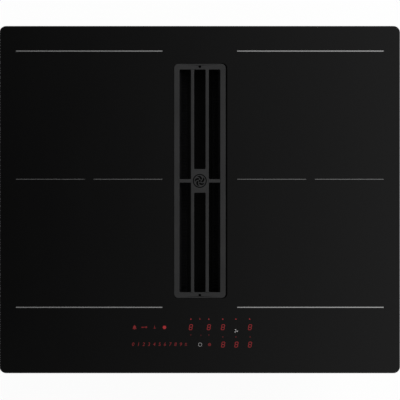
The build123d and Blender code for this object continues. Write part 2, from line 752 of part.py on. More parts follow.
def duct_seal():
    """The gasket between the duct and the underside of the glass."""
    outer = slab(DUCT_W, DUCT_L, DUCT_TOP, GLASS_BASE, PAN_CORNER, y=GRILLE_Y)
    return outer - slab(POCKET_W, POCKET_LEN, DUCT_TOP, GLASS_BASE, GRILLE_CORNER, y=GRILLE_Y)


def duct_screws():
    z = PAN_FLOOR + DUCT_WALL
    return group(Pos(x, y, z) * screw() for x, y in duct_screw_places())


# ---------------------------------------------------------------- induction coils
def zone_centres():
    """Each zone's name and centre."""
    for side, s in SIDES.items():
        for end, e in ENDS.items():
            yield f"{end}_{side}", s * ZONE_X, ZONE_Y + e * ZONE_PITCH / 2


def spiral_edges(shift):
    """One side of the flat spiral: straight runs joined by quarter arcs about four centres."""
    step = COIL_PITCH / 4
    w, h = COIL_W / 2 - COIL_CORNER, COIL_D / 2 - COIL_CORNER
    centres = [(w, -h), (w + step, h), (-w, h + step), (-w - step, -h + step)]
    edges = []
    last = None
    for k in range(4 * COIL_TURNS):
        cx, cy = centres[k % 4]
        arc = CenterArc((cx, cy), COIL_CORNER - COIL_WIRE - k * step + shift, 90 * (k - 1), 90)
        edges.append(Line(last or (0, (arc @ 0).Y), arc @ 0))
        edges.append(arc)
        last = arc @ 1
    return edges


def coil_winding():
    """A flat spiral of litz wire with round corners, wound as one ribbon about the origin."""
    outer, inner = spiral_edges(COIL_WIRE / 2), spiral_edges(-COIL_WIRE / 2)
    caps = [Line(outer[0] @ 0, inner[0] @ 0), Line(outer[-1] @ 1, inner[-1] @ 1)]
    face = make_face([e.edge() for e in outer + inner + caps])
    return Pos(0, 0, FORMER_TOP) * extrude(face, COIL_WIRE)


def ferrite_places():
    """Eight bars that point out from the middle of a coil: centre offset and angle."""
    places = []
    for i in range(8):
        angle = 45 * i
        a = math.radians(angle)
        reach_x = COIL_W / 2 - FERRITE_L / 2 - FORMER_MARGIN
        reach_y = COIL_D / 2 - FERRITE_L / 2 - FORMER_MARGIN
        places.append((reach_x * math.cos(a) * 0.96, reach_y * math.sin(a) * 0.96, angle))
    return places


def coil_formers():
    """The moulded plates that hold each winding, with a pocket for every ferrite bar."""
    made = []
    width, depth = COIL_W + 2 * FORMER_MARGIN, COIL_D + 2 * FORMER_MARGIN
    for _, x, y in zone_centres():
        plate = slab(width, depth, TRAY_TOP, FORMER_TOP, COIL_CORNER, x, y)
        plate -= rod(SENSOR_R + FERRITE_FIT, TRAY_TOP, FORMER_TOP, x, y)
        for dx, dy, angle in ferrite_places():
            pocket = Box(FERRITE_L + 2 * FERRITE_FIT, FERRITE_W + 2 * FERRITE_FIT, 2 * FERRITE_T)
            plate -= Pos(x + dx, y + dy, TRAY_TOP) * Rot(0, 0, angle) * pocket
        made.append(plate)
    return group(made)


def ferrite_bars():
    bars = []
    for _, x, y in zone_centres():
        for dx, dy, angle in ferrite_places():
            bar = Box(FERRITE_L, FERRITE_W, FERRITE_T)
            bars.append(Pos(x + dx, y + dy, TRAY_TOP + FERRITE_T / 2) * Rot(0, 0, angle) * bar)
    return group(bars)


def coil_insulators():
    """The mica sheets between the windings and the glass."""
    width, depth = COIL_W + 2 * MICA_MARGIN, COIL_D + 2 * MICA_MARGIN
    sheets = []
    for _, x, y in zone_centres():
        sheet = slab(width, depth, COIL_TOP, GLASS_BASE, COIL_CORNER, x, y)
        sheets.append(sheet - rod(SENSOR_R + FERRITE_FIT, COIL_TOP, GLASS_BASE, x, y))
    return group(sheets)


def coil_sensors():
    """The sprung temperature sensors in the middle of each coil, pressed to the glass."""
    made = []
    for _, x, y in zone_centres():
        cap = rod(SENSOR_R / 2, FORMER_TOP, GLASS_BASE, x, y)
        made.append(cap + rod(SENSOR_R, TRAY_TOP, FORMER_TOP, x, y))
    return group(made)


def tray_size():
    width = COIL_W + 2 * (FORMER_MARGIN + TRAY_MARGIN)
    depth = COIL_D + ZONE_PITCH + 2 * (FORMER_MARGIN + TRAY_MARGIN)
    return width, depth


def post_places(side):
    """The four springs under one coil tray."""
    width, depth = tray_size()
    for sx in (-1, 1):
        for sy in (-1, 1):
            yield side * ZONE_X + sx * (width / 2 - POST_IN_X), ZONE_Y + sy * (depth / 2 - POST_IN_Y)


def coil_tray(side):
    """The aluminium tray that carries a front and a rear coil."""
    width, depth = tray_size()
    plate = slab(width, depth, TRAY_BASE, TRAY_TOP, PAN_CORNER, side * ZONE_X, ZONE_Y)
    for e in ENDS.values():
        y = ZONE_Y + e * ZONE_PITCH / 2
        for dx in (-COIL_W / 4, COIL_W / 4):
            x = side * ZONE_X + dx
            cut_y = y + e * COIL_D / 6
            plate -= slab(COIL_W / 6, COIL_D / 3, TRAY_BASE, TRAY_TOP, PAN_CORNER, x, cut_y)
    return plate


def tray_springs():
    """The coil springs that press the trays up to the glass."""
    pitch = (SPRING_H - SPRING_WIRE) / SPRING_TURNS
    path = Helix(pitch, SPRING_H - SPRING_WIRE, SPRING_R)
    section = Plane(origin=path @ 0, z_dir=path % 0) * Circle(SPRING_WIRE / 2)
    spring = sweep(section, path=path)
    springs = []
    for side in SIDES.values():
        for x, y in post_places(side):
            springs.append(Pos(x, y, SPRING_BASE + SPRING_WIRE / 2) * spring)
    return group(springs)


# ---------------------------------------------------------------- power boards
def board_span(side):
    x0, x1 = sorted((side * BOARD_X, side * (BOARD_X + BOARD_W)))
    return x0, x1, BOARD_Y, BOARD_Y + BOARD_L


def standoff_places(side):
    x0, x1, y0, y1 = board_span(side)
    margin = 2 * STANDOFF_R
    for x in (x0 + margin, x1 - margin):
        for y in (y0 + margin, (y0 + y1) / 2, y1 - margin):
            yield x, y


def support_posts():
    """The moulded posts: tall ones carry the springs of the coil trays, short ones the boards."""
    posts = []
    for side in SIDES.values():
        for x, y in post_places(side):
            post = rod(POST_R, PAN_FLOOR, SPRING_BASE, x, y)
            posts.append(post + rod(POST_TIP_R, SPRING_BASE, SPRING_BASE + POST_TIP_H, x, y))
        for x, y in standoff_places(side):
            posts.append(rod(STANDOFF_R, PAN_FLOOR, BOARD_BASE, x, y))
    return group(posts)


def power_board(side):
    """A power board, notched round the posts of the coil tray."""
    x0, x1, y0, y1 = board_span(side)
    board = block(x0, x1, y0, y1, BOARD_BASE, BOARD_TOP)
    for x, y in post_places(side):
        board -= rod(POST_R + 2 * POCKET_GAP, BOARD_BASE, BOARD_TOP, x, y)
    return board


def heatsink(side):
    """An extruded heatsink on the board, in the fan's stream."""
    x, y0 = side * SINK_X, BOARD_Y + SINK_START
    base = BOARD_TOP + SINK_FEET
    body = block(x - SINK_W / 2, x + SINK_W / 2, y0, y0 + SINK_L, base, base + SINK_BASE)
    pitch = (SINK_W - SINK_FIN) / (SINK_FINS - 1)
    for i in range(SINK_FINS):
        left = x - SINK_W / 2 + i * pitch
        body += block(left, left + SINK_FIN, y0, y0 + SINK_L, base, base + SINK_H)
    for s in (-1, 1):
        edge = x + s * (SINK_W / 2 - SINK_FIN)
        body += block(edge - SINK_FIN, edge + SINK_FIN, y0, y0 + SINK_L, BOARD_TOP, base)
    return body


def board_parts(side):
    """The chokes, capacitors, relays and power switches that stand on a board."""
    x0, x1, _, y1 = board_span(side)
    inner, outer = (x0, x1) if side > 0 else (x1, x0)
    made = []
    for i in range(CAPACITOR_COUNT):
        y = BOARD_Y + SINK_START + 2 * STANDOFF_R + CAPACITOR_IN_Y + i * CAPACITOR_PITCH
        film = Box(FILM_W, FILM_D, FILM_H)
        made.append(Pos(inner + side * FILM_IN_X, y, BOARD_TOP + FILM_H / 2) * film)
        made.append(rod(CAN_R, BOARD_TOP, BOARD_TOP + CAN_H, inner + side * CAN_IN_X, y))
    rear = BOARD_Y + SINK_START + SINK_L
    choke = tube(CHOKE_R, CHOKE_BORE_R, BOARD_TOP, BOARD_TOP + CHOKE_H, side * SINK_X, rear + CHOKE_IN_Y)
    made.append(choke)
    for i in range(RELAY_COUNT):
        relay = Box(RELAY_W, RELAY_D, RELAY_H)
        x, y = inner + side * RELAY_IN_X, rear + RELAY_IN_Y + i * RELAY_PITCH
        made.append(Pos(x, y, BOARD_TOP + RELAY_H / 2) * relay)
        switch = Box(SWITCH_W, SWITCH_D, SWITCH_H)
        x, y = outer - side * SWITCH_IN_X, rear + SWITCH_IN_Y + i * SWITCH_PITCH
        made.append(Pos(x, y, BOARD_TOP + SWITCH_H / 2) * switch)
    header = Box(HEADER_W, HEADER_D, HEADER_H)
    made.append(Pos(side * SINK_X, y1 - HEADER_IN_Y, BOARD_TOP + HEADER_H / 2) * header)
    return group(made)


# ---------------------------------------------------------------- cooling fans
def fan_levels():
    """Foot of the housing, underside of the rotor, top of the rotor, and top of the housing."""
    foot = PAN_FLOOR
    rotor_base = foot + FAN_WALL + ROTOR_FLOAT
    return foot, rotor_base, rotor_base + FAN_ROTOR_H, foot + FAN_H


def fan_frame(side):
    """A flat radial fan's housing: an eye in its foot, a mouth towards the heatsink and an axle."""
    foot, rotor_base, rotor_top, top = fan_levels()
    x = side * SINK_X
    body = slab(FAN_W, FAN_W, foot, top, PAN_CORNER, x, FAN_Y)
    cavity_r = FAN_ROTOR_R + FAN_CAVITY_GAP
    body -= rod(cavity_r, foot + FAN_WALL, top - FAN_WALL, x, FAN_Y)
    body -= block(
        x - cavity_r + FAN_WALL,
        x + cavity_r - FAN_WALL,
        FAN_Y,
        FAN_Y + FAN_W,
        foot + FAN_WALL,
        top - FAN_WALL,
    )
    body -= rod(FAN_EYE_R, foot, foot + FAN_WALL, x, FAN_Y)
    for angle in (45, 135):
        spoke = Box(2 * FAN_EYE_R + FAN_WALL, 2 * FAN_WALL, FAN_WALL)
        body += Pos(x, FAN_Y, foot + FAN_WALL / 2) * Rot(0, 0, angle) * spoke
    body += rod(FAN_AXLE_R, foot, top - FAN_WALL, x, FAN_Y)
    return body


def fan_rotor(side):
    """The radial rotor: a hub with a bore, a disc at the top and straight blades."""
    _, base, top, _ = fan_levels()
    x = side * SINK_X
    length = FAN_ROTOR_R - FAN_HUB_R
    blade = Pos((FAN_ROTOR_R + FAN_HUB_R) / 2 - FAN_BLADE_T / 2, 0, (base + top) / 2)
    blade *= Box(length, FAN_BLADE_T, top - base)
    blades = [Rot(0, 0, 360 * i / FAN_BLADES) * blade for i in range(FAN_BLADES)]
    body = rod(FAN_HUB_R, base, top) + [rod(FAN_ROTOR_R, top - FAN_BLADE_T, top)] + blades
    body -= rod(FAN_AXLE_R + RUNNING_GAP, base, top)
    return Pos(x, FAN_Y, 0) * body


# ---------------------------------------------------------------- controls
def panel_levels():
    """Underside and top of the control board, and foot of its carrier."""
    board_top = GLASS_BASE - DIGIT_SKIN - DIGIT_H
    board_base = board_top - PANEL_BOARD_T
    return board_base, board_top, GLASS_BASE - DIGIT_SKIN - CARRIER_T


def control_carrier():
    """The moulded tray that holds the control board under the glass."""
    board_base, _, foot = panel_levels()
    top = GLASS_BASE
    body = slab(CARRIER_W, CARRIER_D, foot, top, PAN_CORNER, PANEL_X, PANEL_Y)
    inner_w, inner_d = PANEL_W + 2 * FRAME_GAP, PANEL_D + 2 * FRAME_GAP
    body -= slab(inner_w, inner_d, board_base, top, PAN_CORNER - CARRIER_WALL, PANEL_X, PANEL_Y)
    body -= slab(
        inner_w - 2 * CARRIER_LIP,
        inner_d - 2 * CARRIER_LIP,
        foot + CARRIER_WALL,
        board_base,
        PAN_CORNER - CARRIER_WALL,
        PANEL_X,
        PANEL_Y,
    )
    return body


def control_board():
    board_base, board_top, _ = panel_levels()
    return slab(PANEL_W, PANEL_D, board_base, board_top, CARRIER_LIP, PANEL_X, PANEL_Y)


def display_digits():
    """The seven-segment modules under the glass, in two rows."""
    _, board_top, _ = panel_levels()
    made = []
    for y, row in DIGIT_ROWS.items():
        for x in row:
            made.append(slab(DIGIT_W, DIGIT_L, board_top, board_top + DIGIT_H, 0, x, PANEL_Y + y))
    return group(made)


def touch_springs():
    """The conductive springs that carry a touch from the glass to the board."""
    _, board_top, _ = panel_levels()
    top = board_top + DIGIT_H
    places = [KEY_FIRST_X + i * KEY_PITCH for i in range(KEY_COUNT)]
    return group(tube(KEY_R, KEY_R / 2, board_top, top, x, PANEL_Y + KEY_ROW) for x in places)


# ---------------------------------------------------------------- worktop claws
def clamp_claw(x, y):
    """A claw on its screw, parked in its recess and pointing to the back."""
    tip_y = y + CLAW_L
    arm = block(x - CLAW_W / 2, x + CLAW_W / 2, y, tip_y, CLAW_Z, CLAW_Z + CLAW_T)
    arm += rod(CLAW_W / 2, CLAW_Z, CLAW_Z + CLAW_T, x, y)
    tip_top = CLAW_Z + CLAW_T + CLAW_TIP
    arm += block(x - CLAW_W / 2, x + CLAW_W / 2, tip_y - CLAW_TIP_T, tip_y, CLAW_Z, tip_top)
    arm += rod(2 * CLAW_SCREW_R, CLAW_Z - CLAW_T, CLAW_Z, x, y)
    return arm - rod(CLAW_SCREW_R + RUNNING_GAP, CLAW_Z - CLAW_T, CLAW_Z + CLAW_T, x, y)


def clamp_screws():
    """The long screws that the claws climb, held by the roof of each recess."""
    made = []
    for _, x, y, _ in claw_pivots():
        shank = rod(CLAW_SCREW_R, CLAW_Z - 2 * CLAW_T, POCKET_ROOF + PAN_SHEET + CLAW_T, x, y)
        head_top = CLAW_Z - 2 * CLAW_T
        head = rod(CLAW_HEAD_R, head_top - CLAW_HEAD_T, head_top, x, y)
        slot = Pos(x, y, head_top - CLAW_HEAD_T) * Box(2 * CLAW_HEAD_R, SCREW_SLOT, CLAW_HEAD_T)
        made.append(shank + head - slot)
    return group(made)


# ---------------------------------------------------------------- blower case
def case_outline(z0, z1, inset=0.0):
    """A slab of the blower case's plan, moved in by a wall or out by a flange."""
    corner = max(CASE_CORNER - inset, 1.0)
    return slab(CASE_W - 2 * inset, CASE_L - 2 * inset, z0, z1, corner, 0, CASE_Y)


def case_screw_places():
    """The screws round the case's flange."""
    x = CASE_W / 2 + CASE_SCREW_OUT
    y0, y1 = CASE_FRONT + CASE_CORNER, CASE_BACK - CASE_CORNER
    places = [(s * x, y) for s in (-1, 1) for y in spaced(y0, y1, CASE_SCREW_PITCH)]
    x0 = CASE_W / 2 - 2 * CASE_CORNER
    for y in (CASE_FRONT - CASE_SCREW_OUT, CASE_BACK + CASE_SCREW_OUT):
        places += [(x, y) for x in spaced(-x0, x0, CASE_SCREW_PITCH)]
    return places


def case_ribs(z0, z1):
    """Upright stiffening ribs on the case's long walls."""
    ribs = []
    for s in (-1, 1):
        for y in spaced(CASE_FRONT + 2 * CASE_CORNER, CASE_BACK - 2 * CASE_CORNER, RIB_PITCH):
            x0, x1 = sorted((s * (CASE_W / 2 - CASE_WALL / 2), s * (CASE_W / 2 + RIB_DEPTH)))
            ribs.append(block(x0, x1, y - RIB_T / 2, y + RIB_T / 2, z0, z1))
    return ribs


def blower_case_upper():
    """The upper shell: the space that spreads the air from the duct to the fan's eye."""
    body = case_outline(COVER_TOP, CASE_TOP)
    body += case_outline(COVER_TOP, COVER_TOP + CASE_WALL, -CASE_FLANGE)
    body += case_ribs(COVER_TOP, CASE_TOP)
    body -= case_outline(COVER_TOP, CASE_TOP - CASE_WALL, CASE_WALL)
    boss_base = CASE_TOP - BOSS_H
    places = duct_screw_places()
    body += [rod(BOSS_R, boss_base, CASE_TOP - CASE_WALL, x, y) for x, y in places]
    cuts = [
        slab(
            DUCT_FLOOR_HOLE_W,
            DUCT_FLOOR_HOLE_L,
            CASE_TOP - CASE_WALL,
            CASE_TOP,
            PAN_CORNER,
            y=GRILLE_Y,
        )
    ]
    cuts += [rod(SCREW_R + RUNNING_GAP, boss_base, CASE_TOP, x, y) for x, y in places]
    for x, y in case_screw_places():
        cuts.append(rod(SCREW_R + SCREW_FIT, COVER_TOP, COVER_TOP + CASE_WALL, x, y))
    return body - cuts


def scroll_cover():
    """The plate between the two shells, with the rounded lip of the fan's eye and a drain hole."""
    plate = case_outline(LOWER_TOP, COVER_TOP, -CASE_FLANGE)
    lip = rod(EYE_R + 2 * LIP_R, COVER_TOP, COVER_TOP + LIP_H, FAN_AXIS_X, FAN_AXIS_Y)
    lip = fillet(lip.faces().sort_by(Axis.Z)[-1].edges(), LIP_R)
    body = plate + lip
    body -= rod(EYE_R + LIP_R, LOWER_TOP, COVER_TOP + LIP_H, FAN_AXIS_X, FAN_AXIS_Y)
    ring = tube(EYE_R + 2 * LIP_R, EYE_R, COVER_TOP, COVER_TOP + LIP_H, FAN_AXIS_X, FAN_AXIS_Y)
    ring = fillet(ring.faces().sort_by(Axis.Z)[-1].edges(), 0.9 * LIP_R)
    body += ring
    body += tube(EYE_R + LIP_R, EYE_R, LOWER_TOP, COVER_TOP, FAN_AXIS_X, FAN_AXIS_Y)
    cuts = [rod(DRAIN_HOLE_R, LOWER_TOP, COVER_TOP, PLUG_X, PLUG_Y)]
    cuts += [rod(SCREW_R + SCREW_FIT, LOWER_TOP, COVER_TOP, x, y) for x, y in case_screw_places()]
    return body - cuts


def scroll_point(angle, grow=0.0):
    """A point on the scroll's spiral, in plan."""
    share = (angle - SCROLL_START_DEG) / (SCROLL_END_DEG - SCROLL_START_DEG)
    r = SCROLL_START_R + share * (SCROLL_END_R - SCROLL_START_R) + grow
    a = math.radians(angle)
    return FAN_AXIS_X + r * math.cos(a), FAN_AXIS_Y + r * math.sin(a)


def scroll_wall():
    """The spiral wall round the wheel, run on to both sides of the outlet."""
    steps = 8
    angles = [
        SCROLL_START_DEG + (SCROLL_END_DEG - SCROLL_START_DEG) * i / steps for i in range(steps + 1)
    ]
    inner = Spline(*[scroll_point(a) for a in angles])
    outer = Spline(*[scroll_point(a, SCROLL_WALL) for a in angles])
    ends = [Line(inner @ 0, outer @ 0), Line(inner @ 1, outer @ 1)]
    spiral = make_face([inner.edge(), outer.edge(), ends[0].edge(), ends[1].edge()])
    height = LOWER_TOP - CASE_BASE
    wall = Pos(0, 0, CASE_BASE) * extrude(spiral, height)
    back = CASE_BACK - CASE_WALL / 2
    x1, y1 = scroll_point(SCROLL_END_DEG)
    wall += block(x1, x1 + SCROLL_WALL, y1, back, CASE_BASE, LOWER_TOP)
    nose_x, nose_y = scroll_point(SCROLL_START_DEG, SCROLL_WALL / 2)
    left = SPIGOT_X - SPIGOT_BORE_W / 2
    run = Line((nose_x, nose_y), (left, back))
    across = Vector(back - nose_y, nose_x - left, 0).normalized() * SCROLL_WALL / 2
    corners = [run @ 0 + across, run @ 1 + across, run @ 1 - across, run @ 0 - across]
    diffuser = make_face(Polyline(*corners, close=True).edges())
    wall += Pos(0, 0, CASE_BASE) * extrude(diffuser, height)
    wall += rod(SCROLL_WALL, CASE_BASE, LOWER_TOP, nose_x, nose_y)
    return wall


def spigot_screw_places():
    x = (SPIGOT_W + SPIGOT_LAP) / 2
    z = SPIGOT_H / 2 - SPIGOT_LAP
    return [(SPIGOT_X + sx * x, SPIGOT_Z + sz * z) for sx in (-1, 1) for sz in (-1, 1)]


def motor_bolt_places():
    for i in range(BUSH_COUNT):
        a = math.radians(90 + 360 * i / BUSH_COUNT)
        yield FAN_AXIS_X + BUSH_RING_R * math.cos(a), FAN_AXIS_Y + BUSH_RING_R * math.sin(a)


def foot_fields():
    """The shallow fields under the floor, between its crossed ribs and the motor's ring."""
    z1 = CASE_BASE + FOOT_RELIEF
    fields = case_outline(CASE_BASE, z1, FOOT_BORDER)
    half_x, half_y = CASE_W / 2 - FOOT_BORDER, CASE_L / 2 - FOOT_BORDER
    ribs = []
    for x in spaced(-half_x, half_x, FOOT_PITCH)[1:-1]:
        ribs.append(slab(FOOT_RIB, CASE_L, CASE_BASE, z1, 0, x, CASE_Y))
    for y in spaced(CASE_Y - half_y, CASE_Y + half_y, FOOT_PITCH)[1:-1]:
        ribs.append(slab(CASE_W, FOOT_RIB, CASE_BASE, z1, 0, 0, y))
    ring = tube(FOOT_RING_R + FOOT_RIB, FOOT_RING_R, CASE_BASE, z1, FAN_AXIS_X, FAN_AXIS_Y)
    hub = rod(FOOT_RING_R, CASE_BASE, z1, FAN_AXIS_X, FAN_AXIS_Y)
    well = rod(PLUG_WELL_R + CASE_WALL + FOOT_RIB, CASE_BASE, z1, PLUG_X, PLUG_Y)
    return fields - ribs + [hub] - [ring, well]


def blower_case_lower():
    """The lower shell: floor, scroll wall, outlet mouth, and the well of the drain plug."""
    body = case_outline(CASE_BASE, LOWER_TOP)
    body += case_outline(LOWER_TOP - CASE_WALL, LOWER_TOP, -CASE_FLANGE)
    body += case_ribs(CASE_BASE + CASE_CORNER / 2, LOWER_TOP)
    body -= case_outline(CASE_FLOOR, LOWER_TOP, CASE_WALL)
    body += scroll_wall()
    half_w, half_h = SPIGOT_BORE_W / 2, SPIGOT_BORE_H / 2
    body -= block(
        SPIGOT_X - half_w,
        SPIGOT_X + half_w,
        CASE_BACK - 2 * CASE_WALL,
        CASE_BACK,
        SPIGOT_Z - half_h,
        SPIGOT_Z + half_h,
    )
    roof = CASE_BASE + PLUG_WELL_H
    body += rod(PLUG_WELL_R + CASE_WALL, CASE_BASE, roof + FLOOR_T, PLUG_X, PLUG_Y)
    body -= rod(PLUG_WELL_R, CASE_BASE, roof, PLUG_X, PLUG_Y)
    body -= rod(PLUG_BORE_R, roof, roof + FLOOR_T, PLUG_X, PLUG_Y)
    notch = plug_lugs(PLUG_LUG_W + PLUG_LUG_FIT, PLUG_GAP, roof, roof + FLOOR_T)
    body -= Pos(PLUG_X, PLUG_Y, 0) * Rot(0, 0, 90) * notch
    pilot = Rot(90, 0, 0) * Cylinder(SCREW_R + RUNNING_GAP, 4 * CASE_WALL)
    cuts = [foot_fields()]
    cuts += [Pos(x, CASE_BACK, z) * pilot for x, z in spigot_screw_places()]
    for x, y in case_screw_places():
        cuts.append(rod(SCREW_R + RUNNING_GAP, LOWER_TOP - CASE_WALL, LOWER_TOP, x, y))
    return body - cuts


def blower_case_screws():
    """The flange screws, and the four that hold the spigot."""
    made = [Pos(x, y, COVER_TOP + CASE_WALL) * screw() for x, y in case_screw_places()]
    for x, z in spigot_screw_places():
        seat = Plane(origin=(x, CASE_BACK + SPIGOT_FLANGE_T, z), z_dir=(0, 1, 0))
        made.append(seat * screw())
    return group(made)


def outlet_spigot():
    """The rectangular spigot that a flat duct slides over."""
    y0 = CASE_BACK + SPIGOT_FLANGE_T
    upright = Plane(origin=(SPIGOT_X, CASE_BACK, SPIGOT_Z), x_dir=(1, 0, 0), z_dir=(0, 1, 0))
    outer = RectangleRounded(SPIGOT_W, SPIGOT_H, SPIGOT_CORNER)
    flange = Rectangle(SPIGOT_W + 2 * SPIGOT_LAP, SPIGOT_H)
    bore = RectangleRounded(SPIGOT_BORE_W, SPIGOT_BORE_H, SPIGOT_CORNER - SPIGOT_WALL)
    body = extrude(upright * flange, SPIGOT_FLANGE_T)
    body += extrude(upright * outer, SPIGOT_FLANGE_T + SPIGOT_L)
    body -= extrude(upright * bore, SPIGOT_FLANGE_T + SPIGOT_L)
    for x, z in spigot_screw_places():
        hole = Pos(x, y0, z) * Rot(90, 0, 0) * Cylinder(SCREW_R + SCREW_FIT, 4 * SPIGOT_FLANGE_T)
        body -= hole
    return body


# ---------------------------------------------------------------- blower motor and wheel
def blower_impeller():
    """The forward-curved wheel: a disc, a ring of blades and a top ring."""
    mid_r = (WHEEL_R + WHEEL_INNER_R) / 2
    length = (WHEEL_R - WHEEL_INNER_R - WHEEL_BLADE_T) / math.cos(math.radians(BLADE_SWEEP))
    blade_h = WHEEL_TOP - WHEEL_RING_T - DISC_TOP
    blade = Rot(0, 0, BLADE_SWEEP) * Box(length, WHEEL_BLADE_T, blade_h)
    blade = Pos(mid_r, 0, DISC_TOP + blade_h / 2) * blade
    blades = [Rot(0, 0, 360 * i / WHEEL_BLADES) * blade for i in range(WHEEL_BLADES)]
    ring = tube(WHEEL_R, WHEEL_INNER_R, WHEEL_TOP - WHEEL_RING_T, WHEEL_TOP)
    body = tube(WHEEL_R, ROTOR_R, DISC_BASE, DISC_TOP) + [ring] + blades
    return Pos(FAN_AXIS_X, FAN_AXIS_Y, 0) * body


def blower_rotor():
    """The turning half of the motor: a steel cup that carries the wheel, its magnets and its shaft."""
    inner_r = ROTOR_R - ROTOR_WALL
    cup = rod(ROTOR_R, ROTOR_BASE, ROTOR_TOP)
    cup -= rod(inner_r, ROTOR_BASE, ROTOR_TOP - ROTOR_WALL)
    cup -= rod(SHAFT_R, ROTOR_TOP - ROTOR_WALL, ROTOR_TOP)
    magnets = tube(inner_r, inner_r - MAGNET_T, ROTOR_BASE + MAGNET_T, ROTOR_TOP - 2 * MAGNET_T)
    shaft = rod(SHAFT_R, SHAFT_BASE, ROTOR_TOP)
    place = Pos(FAN_AXIS_X, FAN_AXIS_Y, 0)
    return group([place * cup, place * magnets, place * shaft])


def bearing_levels():
    low = SHAFT_BASE + AIR_GAP
    high = TUBE_TOP - BEARING_T
    return low, high


def stator_core():
    """The laminated core with its teeth, round the bearing tube."""
    core_r = ROTOR_R - ROTOR_WALL - MAGNET_T - AIR_GAP
    tube_r = BEARING_R + TUBE_WALL
    yoke_r = tube_r + TUBE_WALL
    z0, z1 = ROTOR_BASE + MAGNET_T, TUBE_TOP - MAGNET_T
    window = Box(core_r - yoke_r - 2 * TOOTH_TIP, TOOTH_GAP, z1 - z0)
    mouth = Box(2 * TOOTH_TIP, TOOTH_MOUTH, z1 - z0)
    slot = Pos((core_r + yoke_r) / 2 - TOOTH_TIP / 2, 0, (z0 + z1) / 2) * window
    slot += Pos(core_r - TOOTH_TIP, 0, (z0 + z1) / 2) * mouth
    return tube(core_r, tube_r, z0, z1) - [
        Rot(0, 0, 360 * i / STATOR_TEETH) * slot for i in range(STATOR_TEETH)
    ]


def blower_stator():
    """The fixed half of the motor: a plate with its bearing tube, and the core."""
    place = Pos(FAN_AXIS_X, FAN_AXIS_Y, 0)
    plate = rod(MOTOR_PLATE_R, PLATE_BASE, PLATE_TOP)
    plate += rod(BEARING_R + TUBE_WALL, PLATE_BASE, TUBE_TOP)
    low, high = bearing_levels()
    plate -= rod(SHAFT_R + 2 * AIR_GAP, SHAFT_BASE, TUBE_TOP)
    plate -= rod(BEARING_R, low, low + BEARING_T)
    plate -= rod(BEARING_R, high, TUBE_TOP)
    for x, y in motor_bolt_places():
        plate -= rod(BUSH_R / 2, PLATE_BASE, PLATE_TOP, x - FAN_AXIS_X, y - FAN_AXIS_Y)
    return group([place * plate, place * stator_core()])


def motor_bearings():
    low, high = bearing_levels()
    bore = SHAFT_R + RUNNING_GAP
    places = (low, high)
    return group(tube(BEARING_R, bore, z, z + BEARING_T, FAN_AXIS_X, FAN_AXIS_Y) for z in places)


def motor_bushes():
    """The rubber bushes that the motor's plate stands on, each with its neck through the plate."""
    made = []
    for x, y in motor_bolt_places():
        foot = rod(BUSH_R, CASE_FLOOR, PLATE_BASE, x, y)
        neck = rod(BUSH_R / 2, PLATE_BASE, PLATE_TOP, x, y)
        made.append(foot + neck + rod(BUSH_R * 0.8, PLATE_TOP, PLATE_TOP + MOTOR_PLATE_T / 2, x, y))
    return group(made)


# ---------------------------------------------------------------- drain plug
def plug_lugs(width, grow, z0, z1):
    """A bar across the plug's stem whose ends are the bayonet lugs."""
    reach = PLUG_BORE_R + PLUG_LUG + grow
    return block(-reach, reach, -width / 2, width / 2, z0, z1)


def drain_plug():
    """A quarter-turn plug in the foot of the case: cap, grip, stem and bayonet lugs."""
    roof = CASE_BASE + PLUG_WELL_H
    cap_top = roof - PLUG_SEAL_T
    lug_base = roof + FLOOR_T + PLUG_GAP
    body = rod(PLUG_R, cap_top - PLUG_T, cap_top)
    body += rod(PLUG_BORE_R - PLUG_GAP, cap_top, lug_base + PLUG_LUG_T)
    body += plug_lugs(PLUG_LUG_W, -2 * PLUG_GAP, lug_base, lug_base + PLUG_LUG_T)
    half_grip = PLUG_R * PLUG_GRIP_SHARE
    grip_base = CASE_BASE + PLUG_LIFT
    grip_w = PLUG_GRIP_W / 2
    body += block(-half_grip, half_grip, -grip_w, grip_w, grip_base, cap_top - PLUG_T)
    return Pos(PLUG_X, PLUG_Y, 0) * body


def drain_plug_seal():
    roof = CASE_BASE + PLUG_WELL_H
    return tube(PLUG_R - 1.0, PLUG_BORE_R, roof - PLUG_SEAL_T, roof, PLUG_X, PLUG_Y)


# ---------------------------------------------------------------- mains terminals
def cover_screw_places():
    x = COVER_W / 2 + COVER_LAP - COVER_WALL / 2
    return [(TERMINAL_X + s * x, TERMINAL_Y) for s in (-1, 1)]


def terminal_block():
    """The pole block under the rear corner of the pan."""
    body = slab(TERMINAL_W, TERMINAL_D, PAN_BASE - TERMINAL_H, PAN_BASE, 0, TERMINAL_X, TERMINAL_Y)
    pitch = TERMINAL_W / TERMINAL_POLES
    base = PAN_BASE - TERMINAL_H
    for i in range(TERMINAL_POLES):
        x = TERMINAL_X - TERMINAL_W / 2 + (i + 0.5) * pitch
        for s in (-1, 1):
            well = rod(pitch / 3, base, base + TERMINAL_H / 3, x, TERMINAL_Y + s * TERMINAL_D / 4)
            body -= well
    return body


def terminal_cover():
    """The moulded box over the terminals."""
    base = PAN_BASE - COVER_H
    body = slab(COVER_W, COVER_D, base, PAN_BASE, PAN_CORNER, TERMINAL_X, TERMINAL_Y)
    for x, y in cover_screw_places():
        body += slab(2 * COVER_LAP, 2 * COVER_LAP, PAN_BASE - COVER_WALL, PAN_BASE, COVER_WALL, x, y)
    body -= slab(
        COVER_W - 2 * COVER_WALL,
        COVER_D - 2 * COVER_WALL,
        base + COVER_WALL,
        PAN_BASE,
        PAN_CORNER - COVER_WALL,
        TERMINAL_X,
        TERMINAL_Y,
    )
    for x, y in cover_screw_places():
        body -= rod(SCREW_R + SCREW_FIT, PAN_BASE - COVER_WALL, PAN_BASE, x, y)
    body -= gland_axis() * Cylinder(GLAND_R, 4 * COVER_WALL)
    return body


